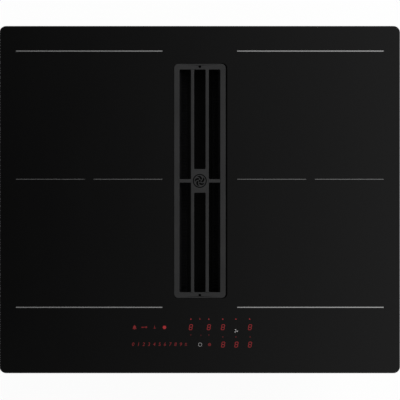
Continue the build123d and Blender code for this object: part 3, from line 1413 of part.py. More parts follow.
def gland_axis():
    """The gland's place on the cover's front wall, with Z pointing out of it."""
    return Plane(
        origin=(TERMINAL_X, TERMINAL_Y - COVER_D / 2, PAN_BASE - COVER_H / 2), z_dir=(0, -1, 0)
    )


def mains_gland():
    """The threaded gland for the mains cable, with its bore open."""
    axis = gland_axis()
    neck = Pos(0, 0, (GLAND_L - COVER_WALL) / 2 - COVER_WALL) * Cylinder(GLAND_R, GLAND_L - COVER_WALL)
    nut = extrude(RegularPolygon(GLAND_NUT_R, 6), GLAND_NUT_T)
    bore = Cylinder(GLAND_BORE_R, 4 * GLAND_L)
    return axis * (neck + nut - bore)


# ---------------------------------------------------------------- write every node
def nodes():
    made = {
        "glass_top": glass_top(),
        "rim_seal": rim_seal(),
        "glass_bond_bead": glass_bond_bead(),
        "glass_frame": glass_frame(),
        "casing_pan": casing_pan(),
        "casing_screws": casing_screws(),
        "grille": grille(),
        "grille_pads": grille_pads(),
        "filter_basket": filter_basket(),
        "inlet_duct": inlet_duct(),
        "duct_seal": duct_seal(),
        "duct_screws": duct_screws(),
        "coil_formers": coil_formers(),
        "ferrite_bars": ferrite_bars(),
        "coil_insulators": coil_insulators(),
        "coil_sensors": coil_sensors(),
        "tray_springs": tray_springs(),
        "support_posts": support_posts(),
        "control_carrier": control_carrier(),
        "control_board": control_board(),
        "display_digits": display_digits(),
        "touch_springs": touch_springs(),
        "clamp_screws": clamp_screws(),
        "blower_case_upper": blower_case_upper(),
        "blower_case_lower": blower_case_lower(),
        "blower_case_screws": blower_case_screws(),
        "scroll_cover": scroll_cover(),
        "outlet_spigot": outlet_spigot(),
        "blower_impeller": blower_impeller(),
        "blower_rotor": blower_rotor(),
        "blower_stator": blower_stator(),
        "motor_bearings": motor_bearings(),
        "motor_bushes": motor_bushes(),
        "drain_plug": drain_plug(),
        "drain_plug_seal": drain_plug_seal(),
        "terminal_block": terminal_block(),
        "terminal_cover": terminal_cover(),
        "mains_gland": mains_gland(),
    }
    for side, s in SIDES.items():
        made[f"filter_mesh_{side}"] = filter_mesh(s)
        made[f"coil_tray_{side}"] = coil_tray(s)
        made[f"power_board_{side}"] = power_board(s)
        made[f"heatsink_{side}"] = heatsink(s)
        made[f"board_parts_{side}"] = board_parts(s)
        made[f"fan_frame_{side}"] = fan_frame(s)
        made[f"fan_rotor_{side}"] = fan_rotor(s)
    winding = coil_winding()
    for name, x, y in zone_centres():
        made[f"coil_{name}"] = Pos(x, y, 0) * winding
    for name, x, y, _ in claw_pivots():
        made[f"clamp_claw_{name}"] = clamp_claw(x, y)
    return made


os.makedirs("parts", exist_ok=True)
for node, shape in nodes().items():
    export_step(shape, f"parts/{node}.step")
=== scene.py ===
import math

import bmesh
import bpy
from mathutils import Matrix, Vector


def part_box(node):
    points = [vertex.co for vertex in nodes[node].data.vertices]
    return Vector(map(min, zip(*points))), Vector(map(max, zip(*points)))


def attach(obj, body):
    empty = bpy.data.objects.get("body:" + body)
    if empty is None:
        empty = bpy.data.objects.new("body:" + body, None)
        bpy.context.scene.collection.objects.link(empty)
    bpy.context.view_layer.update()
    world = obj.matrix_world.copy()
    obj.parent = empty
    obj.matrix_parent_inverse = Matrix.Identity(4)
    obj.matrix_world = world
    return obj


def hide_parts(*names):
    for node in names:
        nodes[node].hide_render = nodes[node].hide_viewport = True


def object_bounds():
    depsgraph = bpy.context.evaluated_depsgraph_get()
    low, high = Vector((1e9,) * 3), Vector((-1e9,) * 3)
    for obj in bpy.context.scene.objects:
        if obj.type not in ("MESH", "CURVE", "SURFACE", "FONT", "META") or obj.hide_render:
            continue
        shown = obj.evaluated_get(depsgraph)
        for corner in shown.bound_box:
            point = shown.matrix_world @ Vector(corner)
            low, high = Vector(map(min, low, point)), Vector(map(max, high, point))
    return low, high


# The looks of a downdraft induction cooktop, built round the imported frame.
# The object is in metres in the frame's own axes. Named sizes are in millimetres and go through MM,
# and the sizes in materials and lights are in metres.

MM = 0.001
GLASS_TOP = 6.0
GRILLE_TOP = 6.5
GRILLE_Y = 28.0
WHITE = (1.0, 1.0, 1.0)
RED = (1.0, 0.055, 0.07)

# print and lines on the glass
PRINT_T = 0.04
PRINT_WELD = 1e-7  # metres
ZONE_INNER_X = 55.9
ZONE_OUTER_X = 275.5
ZONE_REAR_Y = 222.45
ZONE_FRONT_Y = -161.3
ZONE_MID_Y = 30.5
ZONE_GAP = 12.9  # in the middle of each dividing line
ZONE_LINE_W = 1.45
DIVIDER_W = 0.42

# digits
SLANT = 0.16  # X gained per unit of height
DIGIT_W = 5.2
DIGIT_H = 8.6
SEGMENT_W = 0.95
SEGMENT_GAP = 0.12  # from a stroke's end to where strokes meet
ICON_ROW_Y = -191.1
LOWER_ROW_Y = -217.1
UPPER_DIGITS_X = (-13.4, 13.6, 34.7, 75.2)
LOWER_DIGITS_X = (35.0, 54.9, 75.2)

# slider
SLIDER_AT = (-100.1, LOWER_ROW_Y + 0.2)  # its number 0
SLIDER_PITCH = 7.93
SLIDER_NUMBERS = 10
SLIDER_NUMBER_H = 5.2
FONT_DIGIT_H = 0.7  # height of a digit as a share of the font's size
BOOST_CHEVRONS = (-1.3, 0.9)  # up from the middle of the numbers

# icons, by their centres
BELL_AT = (-97.7, ICON_ROW_Y)
KEY_AT = (-82.8, ICON_ROW_Y)
WARM_AT = (-67.6, ICON_ROW_Y - 0.1)
DISC_AT = (-52.9, ICON_ROW_Y - 0.2)
DISC_R = 2.6
FILTER_LIGHT_AT = (14.6, LOWER_ROW_Y)
FILTER_LIGHT_RADII = (2.2, 1.3, 0.6)
FAN_ICON_AT = (54.3, -196.8)
POWER_AT = (0.4, LOWER_ROW_Y - 0.1)
POWER_RADII = (2.8, 2.38)
POWER_RING_ENDS = (-248, 68)  # degrees
POWER_STROKE = (0.45, 2.0)
POWER_STROKE_UP = 2.6  # from the ring's centre to the stroke's

# pointers: places along X, their Y, and their size, which is below zero where they point down
UPPER_POINTERS = ((-13.4, 13.4, 34.4, 54.1, 74.6), -178.6, 2.4)
FAINT_POINTERS = (
    ((-13.4, 13.6), -203.0, -1.7),
    ((34.6, 54.1, 75.4), -206.0, -1.8),
    ((0.1,), -178.4, 2.6),
)
FAINT_DASH = (1.6, -203.2, 1.6, 0.5)  # centre, width and height

# fan symbols
BLADE_STEPS = 8
BLADE_ROOT = 1.5  # where the blades start, in radii of the hub
BLADE_END = 0.6  # opening of a blade at its ends, as a share of the widest
BLADE_SKEW = 0.7  # below 1 moves the widest place towards the hub
HUB_RING_RADII = (10.4, 8.9)
HUB_RING_STEPS = 48

# expanded mesh of the grease filter
PANEL_LEAN = 13.2  # degrees from upright
PANEL_T = 5.0
PANEL_BORDER = 4.0
BORDER_SHARE = 0.96  # thickness of the border as a share of the panel's
MESH_CELL_L = 9.0
MESH_CELL_H = 5.0
MESH_STRAND = 1.1
MESH_LAYERS = 2
LAYER_SHARE = 0.42  # from layer to layer, as a share of the panel's thickness

# rounded edges of the CAD nodes
NODE_WELD = 1e-6  # metres
EDGE_SEGMENTS = 2
EDGE_ANGLE = 32.0  # degrees, edges less sharp than this stay as they are

# camera and stage
CAMERA_X = 0.33
CAMERA_Y = -0.6
CAMERA_HEIGHT = 4992.0
CAMERA_LENS = 300.0
CAMERA_SENSOR = 36.0
CAMERA_RANGE = (0.1, 30.0)  # metres
FLOOR_SIZE = 9.0  # metres
FLOOR_COLOR = (0.85, 0.85, 0.85, 1)
FLOOR_WHITE = 0.95  # share of plain white that the eye sees in the floor, the rest is its shadow

# light: a dark soft panel hangs over the glass, and what surrounds it is brighter to the right
GLOW_CENTRE_X = -0.12  # where the panel is darkest, as a direction
GLOW_LOW = 0.036
GLOW_RISE = 10.9
GLOW_ALONG_Y = 0.5  # share of the rise that is left from front to back
GLOW_LEFT = 0.28
GLOW_RIGHT = 1.0
FILL = 0.62
KEY_LIGHT_AT = (1.5, 0.9, 1.7)  # metres
KEY_LIGHT_SIZE = 1.4
KEY_LIGHT_POWER = 42.0

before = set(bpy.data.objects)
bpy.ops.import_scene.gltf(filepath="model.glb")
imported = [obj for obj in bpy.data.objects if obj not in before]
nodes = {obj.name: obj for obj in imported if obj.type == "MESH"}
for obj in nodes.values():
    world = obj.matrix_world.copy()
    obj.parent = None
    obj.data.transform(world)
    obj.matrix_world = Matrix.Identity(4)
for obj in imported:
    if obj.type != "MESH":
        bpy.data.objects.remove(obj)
cad_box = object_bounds()


# ---------------------------------------------------------------- shader helpers
def add_node(tree, kind, inputs=None, **settings):
    """A new shader node. Its inputs, by name or number, are linked to sources or set to values."""
    made = tree.nodes.new(kind)
    for key, value in settings.items():
        setattr(made, key, value)
    for key, value in (inputs or {}).items():
        if isinstance(value, bpy.types.NodeSocket):
            tree.links.new(value, made.inputs[key])
        else:
            made.inputs[key].default_value = value
    return made


def math_node(tree, operation, first, second):
    """The result of a calculation on two sources or numbers."""
    return add_node(tree, "ShaderNodeMath", {0: first, 1: second}, operation=operation).outputs[0]


class Finish:
    """A Principled material whose colour, roughness and bump can be driven by procedural nodes."""

    def __init__(self, name, color, roughness, metallic=0.0, specular=0.5):
        self.material = bpy.data.materials.new(name)
        self.material.use_nodes = True
        self.tree = self.material.node_tree
        self.shader = self.tree.nodes["Principled BSDF"]
        self.color = color
        self.set("Base Color", (*color, 1.0))
        self.set("Roughness", roughness)
        self.set("Metallic", metallic)
        self.set("Specular IOR Level", specular)
        self.place = self.node("ShaderNodeTexCoord").outputs["Object"]

    def set(self, socket, value):
        self.shader.inputs[socket].default_value = value

    def node(self, kind, inputs=None, **settings):
        return add_node(self.tree, kind, inputs, **settings)

    def vector(self, operation, inputs):
        return self.node("ShaderNodeVectorMath", inputs, operation=operation).outputs[0]

    def link(self, source, socket):
        self.tree.links.new(source, self.shader.inputs[socket])

    def streaks(self, scale, detail):
        """Noise on object coordinates that are scaled by axis."""
        vector = self.node("ShaderNodeMapping", {"Vector": self.place, "Scale": scale}).outputs[0]
        inputs = {"Vector": vector, "Scale": 1.0, "Detail": detail}
        return self.node("ShaderNodeTexNoise", inputs).outputs["Fac"]

    def noise(self, size, detail=3.0, rough=0.5):
        """Noise whose features are about size metres wide."""
        inputs = {"Vector": self.place, "Scale": 1 / size, "Detail": detail, "Roughness": rough}
        return self.node("ShaderNodeTexNoise", inputs).outputs["Fac"]

    def cells(self, size, output="Color", vector=None):
        """Cells about size metres wide: each cell's colour, or the distance from its middle."""
        inputs = {"Vector": vector or self.place, "Scale": 1 / size}
        return self.node("ShaderNodeTexVoronoi", inputs).outputs[output]

    def ragged(self, size, reach):
        """Object coordinates pushed about by noise, for uneven edges. Sizes in metres."""
        inputs = {"Vector": self.place, "Scale": 1 / size, "Detail": 2.0}
        push = self.node("ShaderNodeTexNoise", inputs).outputs["Color"]
        centred = self.vector("SUBTRACT", {0: push, 1: (0.5, 0.5, 0.5)})
        scaled = self.vector("SCALE", {0: centred, "Scale": reach})
        return self.vector("ADD", {0: self.place, 1: scaled})

    def spread(self, source, low, high, start, end):
        """Maps start..end of a source to low..high."""
        inputs = {
            "Value": source,
            "From Min": start,
            "From Max": end,
            "To Min": low,
            "To Max": high,
        }
        return self.node("ShaderNodeMapRange", inputs).outputs["Result"]

    def vary_color(self, source, low, high, start=0.3, end=0.7):
        """The base colour, made darker and lighter by a source."""
        factor = self.spread(source, low, high, start, end)
        self.link(self.vector("SCALE", {0: self.color, "Scale": factor}), "Base Color")

    def blend_color(self, factor, first, second):
        """The base colour, blended from the first colour to the second. A colour may be a source."""
        colors = [c if isinstance(c, bpy.types.NodeSocket) else (*c, 1.0) for c in (first, second)]
        inputs = {0: factor, 6: colors[0], 7: colors[1]}
        mixed = self.node("ShaderNodeMix", inputs, data_type="RGBA").outputs[2]
        self.link(mixed, "Base Color")
        return mixed

    def vary_roughness(self, source, low, high, start=0.3, end=0.7):
        self.link(self.spread(source, low, high, start, end), "Roughness")

    def bump(self, source, depth, strength=1.0):
        """Bump of a given depth in metres, on top of any before it."""
        inputs = {"Height": source, "Distance": depth, "Strength": strength}
        chain = self.shader.inputs["Normal"]
        if chain.is_linked:
            inputs["Normal"] = chain.links[0].from_socket
        self.link(self.node("ShaderNodeBump", inputs).outputs["Normal"], "Normal")


# ---------------------------------------------------------------- materials
def moulded(name, color, roughness=0.5, grain=0.0007, depth=0.00004, specular=0.5):
    """Moulded plastic or smooth enamel with a fine grain and a faint flow pattern."""
    f = Finish(name, color, roughness, specular=specular)
    f.vary_color(f.noise(0.05), 0.88, 1.14)
    f.vary_roughness(f.noise(0.012, 4.0), roughness - 0.07, roughness + 0.08)
    f.bump(f.noise(grain, 2.0), depth)
    return f.material


def galvanised(name, color, cell=0.0075):
    """Hot-dip galvanised sheet: spangle crystals, each with its own shade, and a fine grain."""
    f = Finish(name, color, 0.42, metallic=1.0)
    ragged = f.ragged(0.35 * cell, 0.6 * cell)
    crystal = f.node("ShaderNodeSeparateColor", {0: f.cells(cell, vector=ragged)}).outputs[0]
    f.vary_color(crystal, 0.86, 1.05, 0.0, 1.0)
    f.vary_roughness(crystal, 0.33, 0.47, 0.0, 1.0)
    f.bump(f.cells(cell, "Distance", ragged), 0.00002, 0.5)
    f.bump(f.noise(0.0009), 0.00001)
    return f.material


def metal(name, color, roughness, streak=(60.0, 1200.0, 1200.0)):
    """Drawn or rolled metal: streaks along one axis and a little tarnish."""
    f = Finish(name, color, roughness, metallic=1.0)
    f.vary_color(f.noise(0.03, 4.0), 0.86, 1.08)
    lines = f.streaks(streak, 3.0)
    f.vary_roughness(lines, roughness - 0.08, roughness + 0.12)
    f.bump(lines, 0.000006)
    return f.material


def rubber(name, color, roughness=0.75, cell=0.0012, depth=0.00008):
    """Soft matt rubber or foam with small pores."""
    f = Finish(name, color, roughness, specular=0.3)
    f.vary_color(f.noise(0.02), 0.8, 1.25)
    f.bump(f.cells(cell, "Distance"), depth)
    return f.material


def ceramic_glass():
    """Black ceramic glass, polished, with a film of handling that shows only in the highlights."""
    f = Finish("ceramic_glass", (0.0008, 0.0008, 0.00085), 0.05)
    f.vary_roughness(f.streaks((14.0, 5.0, 5.0), 5.0), 0.03, 0.09)
    f.bump(f.noise(0.09, 2.0), 0.000004)
    return f.material


def cast_enamel():
    """The grille: cast iron under a matt black enamel, slightly mottled, with a fine orange peel."""
    f = Finish("cast_enamel", (0.0212, 0.0212, 0.0217), 0.55, specular=0.3)
    f.vary_color(f.noise(0.03, 4.0), 0.9, 1.1)
    f.vary_roughness(f.noise(0.004, 4.0), 0.48, 0.66)
    f.bump(f.noise(0.0011, 4.0, 0.6), 0.00005)
    f.bump(f.noise(0.006, 2.0), 0.00006)
    return f.material


def printed(name, color, roughness, specular=0.5, metallic=0.0):
    """An ink fired onto glass or enamel, very slightly speckled."""
    f = Finish(name, color, roughness, metallic, specular)
    f.vary_color(f.noise(0.0004, 2.0), 0.94, 1.06)
    return f.material


def lit(name, color, strength):
    """A light behind the glass, a little uneven."""
    f = Finish(name, (0.01, 0.002, 0.002), 0.3)
    f.set("Emission Color", (*color, 1.0))
    glow = f.spread(f.noise(0.0015, 2.0), 0.9 * strength, 1.1 * strength, 0.3, 0.7)
    f.link(glow, "Emission Strength")
    return f.material


def circuit_board():
    """Solder mask over copper tracks, with small tinned pads all over."""
    f = Finish("circuit_board", (0.012, 0.11, 0.045), 0.32)
    inputs = {
        "Vector": f.place,
        "Scale": 1 / 0.02,
        "Mortar Size": 0.05,
        "Color1": (1, 1, 1, 1),
        "Color2": (0.6, 0.6, 0.6, 1),
        "Mortar": (0, 0, 0, 1),
    }
    track = f.node("ShaderNodeTexBrick", inputs)
    mask = f.blend_color(track.outputs["Color"], (0.02, 0.17, 0.07), (0.009, 0.085, 0.035))
    pad = f.spread(f.cells(0.0035, "Distance"), 1.0, 0.0, 0.16, 0.2)
    f.blend_color(pad, mask, (0.55, 0.52, 0.42))
    f.bump(track.outputs["Fac"], 0.00003)
    return f.material


def litz():
    """Lacquered copper litz wire: twisted strands across every turn."""
    f = Finish("litz_copper", (0.60, 0.27, 0.13), 0.34, metallic=1.0)
    f.vary_color(f.noise(0.02), 0.75, 1.1)
    inputs = {"Vector": f.place, "Scale": 260.0, "Distortion": 2.0}
    twist = f.node("ShaderNodeTexWave", inputs, bands_direction="DIAGONAL")
    f.bump(twist.outputs["Fac"], 0.00012)
    return f.material


def sintered(name, color, speck):
    """Pressed or sintered stock with small flakes of another shade."""
    f = Finish(name, color, 0.7)
    flake = f.spread(f.cells(0.0016, "Distance"), 0.0, 1.0, 0.2, 0.6)
    f.blend_color(flake, speck, color)
    f.bump(f.noise(0.0008), 0.00003)
    return f.material


def electronic_parts():
    """Chokes, capacitors and relays: each loose part of the group has one of five colours."""
    f = Finish("electronic_parts", (0.05, 0.05, 0.055), 0.42)
    stops = (
        (0.0, (0.02, 0.02, 0.022)),
        (0.35, (0.03, 0.07, 0.2)),
        (0.55, (0.55, 0.53, 0.46)),
        (0.72, (0.16, 0.17, 0.18)),
        (0.86, (0.45, 0.32, 0.06)),
    )
    island = f.node("ShaderNodeNewGeometry").outputs["Random Per Island"]
    ramp = f.node("ShaderNodeValToRGB", {"Fac": island})
    band = ramp.color_ramp
    band.interpolation = "CONSTANT"
    while len(band.elements) < len(stops):
        band.elements.new(1.0)
    for element, (place, color) in zip(band.elements, stops):
        element.position = place
        element.color = (*color, 1.0)
    f.link(ramp.outputs["Color"], "Base Color")
    f.bump(f.noise(0.0009), 0.00003)
    return f.material


def filter_wire():
    """The filter's wire in black enamel, darker than real enamel as painted shade for the slots under
    the grille, a little mottled.
    """
    f = Finish("filter_wire", (0.006, 0.006, 0.0065), 0.5, specular=0.2)
    f.vary_color(f.noise(0.006), 0.7, 1.3)
    f.bump(f.noise(0.0006), 0.00002)
    return f.material


# ---------------------------------------------------------------- mesh helpers
def add_mesh(name, mesh, material, body):
    """A new piece of the object, in the frame's axes, riding on a body."""
    mesh.name = name
    mesh.materials.clear()
    mesh.materials.append(material)
    piece = bpy.data.objects.new(name, mesh)
    bpy.context.collection.objects.link(piece)
    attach(piece, body)
    return piece


def plate(loops, z0, z1):
    """A flat closed mesh between two levels, from outlines in mm. One inside another is a hole."""
    curve = bpy.data.curves.new("outline", "CURVE")
    curve.dimensions = "2D"
    curve.fill_mode = "BOTH"
    curve.extrude = (z1 - z0) / 2 * MM
    for loop in loops:
        spline = curve.splines.new("POLY")
        spline.points.add(len(loop) - 1)
        for point, (x, y) in zip(spline.points, loop):
            point.co = (x * MM, y * MM, 0.0, 1.0)
        spline.use_cyclic_u = True
    return curve_to_mesh(curve, (z0 + z1) / 2)


def on_glass(loops):
    """A plate of the print's thickness on the glass."""
    return plate(loops, GLASS_TOP, GLASS_TOP + PRINT_T)


def curve_to_mesh(curve, level):
    """The mesh of a filled curve or text, welded shut and lifted to a level in mm."""
    holder = bpy.data.objects.new("holder", curve)
    mesh = bpy.data.meshes.new_from_object(holder)
    bpy.data.objects.remove(holder)
    work = bmesh.new()
    work.from_mesh(mesh)
    bmesh.ops.remove_doubles(work, verts=work.verts, dist=PRINT_WELD)
    bmesh.ops.translate(work, verts=work.verts, vec=(0, 0, level * MM))
    bmesh.ops.recalc_face_normals(work, faces=work.faces)
    work.to_mesh(mesh)
    work.free()
    return mesh


def joined(meshes):
    """One mesh from several."""
    work = bmesh.new()
    for mesh in meshes:
        work.from_mesh(mesh)
    made = bpy.data.meshes.new("joined")
    work.to_mesh(made)
    work.free()
    return made


def polar(cx, cy, radius, degrees):
    """The point at a radius and an angle from a centre."""
    a = math.radians(degrees)
    return cx + radius * math.cos(a), cy + radius * math.sin(a)


def arc(cx, cy, radius, start=0.0, end=360.0, steps=28):
    """Points along an arc, angles in degrees."""
    full = abs(end - start) >= 360
    count = steps if full else steps + 1
    return [polar(cx, cy, radius, start + (end - start) * i / steps) for i in range(count)]


def bar(cx, cy, width, height):
    """A rectangle's corners."""
    left, right = cx - width / 2, cx + width / 2
    low, high = cy - height / 2, cy + height / 2
    return [(left, low), (right, low), (right, high), (left, high)]


def ring_part(cx, cy, outer, inner, start, end):
    """An arc with a width, as one outline."""
    return arc(cx, cy, outer, start, end) + arc(cx, cy, inner, end, start)


def capsule(cx, cy, length, width):
    """A level bar with round ends."""
    half = (length - width) / 2
    right = arc(cx + half, cy, width / 2, -90, 90, 10)
    left = arc(cx - half, cy, width / 2, 90, 270, 10)
    return right + left


# ---------------------------------------------------------------- print and lights on the glass
def zone_lines():
    """The long lines at the front and back of each pair of zones."""
    length = ZONE_OUTER_X - ZONE_INNER_X
    middle = (ZONE_OUTER_X + ZONE_INNER_X) / 2
    places = [(side * middle, y) for side in (-1, 1) for y in (ZONE_REAR_Y, ZONE_FRONT_Y)]
    return [capsule(x, y, length, ZONE_LINE_W) for x, y in places]


def zone_dividers():
    """The thin broken lines between the front and rear zones."""
    length = (ZONE_OUTER_X - ZONE_INNER_X - ZONE_GAP) / 2
    loops = []
    for side in (-1, 1):
        for end in (-1, 1):
            x = side * (ZONE_OUTER_X + ZONE_INNER_X) / 2 + end * (ZONE_GAP + length) / 2
            loops.append(capsule(x, ZONE_MID_Y, length, DIVIDER_W))
    return loops


def segment(x0, y0, x1, y1):
    """One stroke of a digit with pointed ends."""
    along = Vector((x1 - x0, y1 - y0)).normalized() * SEGMENT_W / 2
    across = Vector((-along.y, along.x))
    a, b = Vector((x0, y0)), Vector((x1, y1))
    return [a, a + along + across, b - along + across, b, b - along - across, a + along - across]


def seven_segments(cx, cy):
    """All seven strokes of a slanted digit, with small gaps between them."""
    w, h = DIGIT_W / 2 - SEGMENT_W / 2, DIGIT_H / 2 - SEGMENT_W / 2
    strokes = []
    for y in (-h, 0, h):
        strokes.append(segment(-w + SEGMENT_GAP, y, w - SEGMENT_GAP, y))
    for x in (-w, w):
        strokes.append(segment(x, SEGMENT_GAP, x, h - SEGMENT_GAP))
        strokes.append(segment(x, -h + SEGMENT_GAP, x, -SEGMENT_GAP))
    return [[(cx + x + SLANT * y, cy + y) for x, y in stroke] for stroke in strokes]


def digits():
    """The digits of both rows, all seven strokes lit."""
    places = [(x, ICON_ROW_Y) for x in UPPER_DIGITS_X] + [(x, LOWER_ROW_Y) for x in LOWER_DIGITS_X]
    return [stroke for place in places for stroke in seven_segments(*place)]


def bell(cx, cy):
    """A timer's bell: dome, brim, clapper and knob."""
    return [
        arc(cx, cy + 0.5, 1.9, 0, 180, 14) + [(cx - 2.7, cy - 1.9), (cx + 2.7, cy - 1.9)],
        bar(cx, cy - 2.35, 6.0, 0.5),
        arc(cx, cy - 2.75, 0.8, 180, 360, 8),
        arc(cx, cy + 2.75, 0.5),
    ]


def key(cx, cy):
    """A child lock's key: bow with its hole, shaft and two bits."""
    return [
        arc(cx + 2.6, cy, 1.45),
        arc(cx + 2.6, cy, 0.6),
        bar(cx - 1.9, cy + 0.2, 5.8, 0.75),
        bar(cx - 4.2, cy - 0.5, 0.75, 0.9),
        bar(cx - 2.6, cy - 0.5, 0.75, 0.9),
    ]


def warm_mark(cx, cy):
    """A pan kept warm: an upright stroke on a base line."""
    return [bar(cx, cy + 0.7, 0.7, 3.4), bar(cx, cy - 1.4, 3.4, 0.7)]


def red_icons():
    """Bell, key and keep-warm mark left of the digits, and the filter light by the power ring."""
    filter_light = [arc(*FILTER_LIGHT_AT, radius) for radius in FILTER_LIGHT_RADII]
    return bell(*BELL_AT) + key(*KEY_AT) + warm_mark(*WARM_AT) + filter_light


def pointers(places, y, size):
    """Small triangles in a row that point up, or down for a size below zero."""
    half = abs(size) / 2
    low, high = y - size / 2, y + size / 2
    return [[(x - half, low), (x + half, low), (x, high)] for x in places]


def faint_pointers():
    """The fainter marks round the digits, and a dash among them."""
    loops = [loop for row in FAINT_POINTERS for loop in pointers(*row)]
    return loops + [bar(*FAINT_DASH)]


def chevron(cx, cy):
    """A broad mark that points up."""
    outer = [(cx - 1.5, cy - 0.9), (cx, cy + 0.6), (cx + 1.5, cy - 0.9)]
    return outer + [(cx + 1.5, cy), (cx, cy + 1.5), (cx - 1.5, cy)]


def slider_marks():
    """The numbers of the power slider, slanted, and two stacked chevrons after them for boost."""
    x, y = SLIDER_AT
    meshes = []
    for number in range(SLIDER_NUMBERS):
        text = bpy.data.curves.new("number", "FONT")
        text.body = str(number)
        text.size = SLIDER_NUMBER_H / FONT_DIGIT_H * MM
        text.shear = SLANT
        text.align_x = "CENTER"
        text.align_y = "CENTER"
        text.extrude = PRINT_T / 2 * MM
        mesh = curve_to_mesh(text, GLASS_TOP + PRINT_T / 2)
        mesh.transform(Matrix.Translation(Vector((x + number * SLIDER_PITCH, y, 0)) * MM))
        meshes.append(mesh)
    boost_x = x + SLIDER_NUMBERS * SLIDER_PITCH
    meshes.append(on_glass([chevron(boost_x, y + dy) for dy in BOOST_CHEVRONS]))
    return joined(meshes)


def fan_blades(cx, cy, reach, hub, blades, turn, breadth, sweep):
    """A fan symbol: a round hub and swept blades. Breadth and sweep are shares of the blades' pitch."""
    loops = [arc(cx, cy, hub)]
    pitch = 360 / blades
    root = hub * BLADE_ROOT
    for i in range(blades):
        front, back = [], []
        for step in range(BLADE_STEPS + 1):
            share = step / BLADE_STEPS
            radius = root + (reach - root) * share
            angle = pitch * i + turn + sweep * pitch * share
            belly = math.sin(math.pi * share**BLADE_SKEW)
            opening = pitch * breadth * (BLADE_END + (1 - BLADE_END) * belly)
            front.append(polar(cx, cy, radius, angle))
            back.append(polar(cx, cy, radius, angle - opening))
        loops.append(front + back[::-1])
    return loops


def white_icons():
    """The fan symbol and the power ring with its stroke."""
    x, y = POWER_AT
    loops = fan_blades(*FAN_ICON_AT, reach=2.95, hub=0.45, blades=3, turn=102, breadth=0.34, sweep=0.3)
    loops.append(ring_part(x, y, *POWER_RADII, *POWER_RING_ENDS))
    loops.append(bar(x, y + POWER_STROKE_UP, *POWER_STROKE))
    return loops


def add_glass_graphics():
    """Every print and light, each kind with its own ink or glow."""
    silver = printed("silver_ink", WHITE, 0.13, metallic=0.94)
    add_mesh("zone_lines", on_glass(zone_lines()), silver, "hob")
    add_mesh("zone_dividers", on_glass(zone_dividers()), silver, "hob")
    # piece, mesh, material, colour and strength
    lights = (
        ("digit_lights", on_glass(digits()), "digit_red", RED, 0.21),
        ("icon_lights", on_glass(red_icons()), "icon_red", RED, 0.14),
        ("disc_light", on_glass([arc(*DISC_AT, DISC_R)]), "disc_red", RED, 0.27),
        ("slider_lights", slider_marks(), "slider_red", RED, 0.14),
        ("upper_pointers", on_glass(pointers(*UPPER_POINTERS)), "pointer_red", RED, 0.25),
        ("lower_pointers", on_glass(faint_pointers()), "faint_red", RED, 0.13),
        ("symbol_lights", on_glass(white_icons()), "symbol_white", WHITE, 0.34),
    )
    for name, mesh, glow, color, strength in lights:
        add_mesh(name, mesh, lit(glow, color, strength), "hob")


# ---------------------------------------------------------------- grille symbol and filter mesh
def add_hub_symbol():
    """A plain extractor fan in a thin ring, in black enamel on the grille's hub plate."""
    ink = printed("hub_ink", (0.0008, 0.0008, 0.0008), 0.6, 0.05)
    loops = fan_blades(0, GRILLE_Y, reach=7.8, hub=1.7, blades=5, turn=0, breadth=0.7, sweep=0.75)
    loops += [arc(0, GRILLE_Y, radius, steps=HUB_RING_STEPS) for radius in HUB_RING_RADII]
    symbol = plate(loops, GRILLE_TOP, GRILLE_TOP + PRINT_T)
    add_mesh("hub_symbol", symbol, ink, "grille")


def add_strand(work, start, end, width):
    """A flat strand of mesh between two points, as a closed bar."""
    along = (end - start).normalized()
    across = along.cross(Vector((1, 0, 0))).normalized() * width / 2
    deep = Vector((width / 4, 0, 0))
    ring = (across + deep, across - deep, -across - deep, -across + deep)
    first = [work.verts.new(start + offset) for offset in ring]
    last = [work.verts.new(end + offset) for offset in ring]
    for i in range(4):
        j = (i + 1) % 4
        work.faces.new((first[i], first[j], last[j], last[i]))
    work.faces.new(first[::-1])
    work.faces.new(last)


def add_mesh_layer(work, layer, length, height):
    """One layer of expanded sheet: diamonds of four strands, a quarter of a cell on from the last."""
    cell_l, cell_h, width = MESH_CELL_L * MM, MESH_CELL_H * MM, MESH_STRAND * MM
    columns = int(length / cell_l) - 1
    rows = int(height / cell_h) - 1
    depth = (layer - (MESH_LAYERS - 1) / 2) * PANEL_T * MM * LAYER_SHARE
    shift = layer * cell_l / 4
    for i in range(columns):
        for j in range(rows):
            y = -columns * cell_l / 2 + i * cell_l + shift
            corner = Vector((depth, y, (j - rows / 2) * cell_h))
            valley = corner + Vector((0, 0, cell_h / 2))
            for peak_z in (cell_h, 0):
                peak = corner + Vector((0, cell_l / 2, peak_z))
                add_strand(work, valley, peak, width)
                add_strand(work, peak, valley + Vector((0, cell_l, 0)), width)


def add_bar(work, centre, size):
    """A box by its centre and size."""
    made = bmesh.ops.create_cube(work, size=1.0)
    bmesh.ops.scale(work, vec=size, verts=made["verts"])
    bmesh.ops.translate(work, vec=centre, verts=made["verts"])


def add_panel_frame(work, length, height):
    """The folded border of a filter panel."""
    t, b = PANEL_T * MM * BORDER_SHARE, PANEL_BORDER * MM
    for side in (-1, 1):
        add_bar(work, (0, 0, side * (height - b) / 2), (t, length, b))
    for side in (-1, 1):
        add_bar(work, (0, side * (length - b) / 2, 0), (t, b, height - 2 * b))


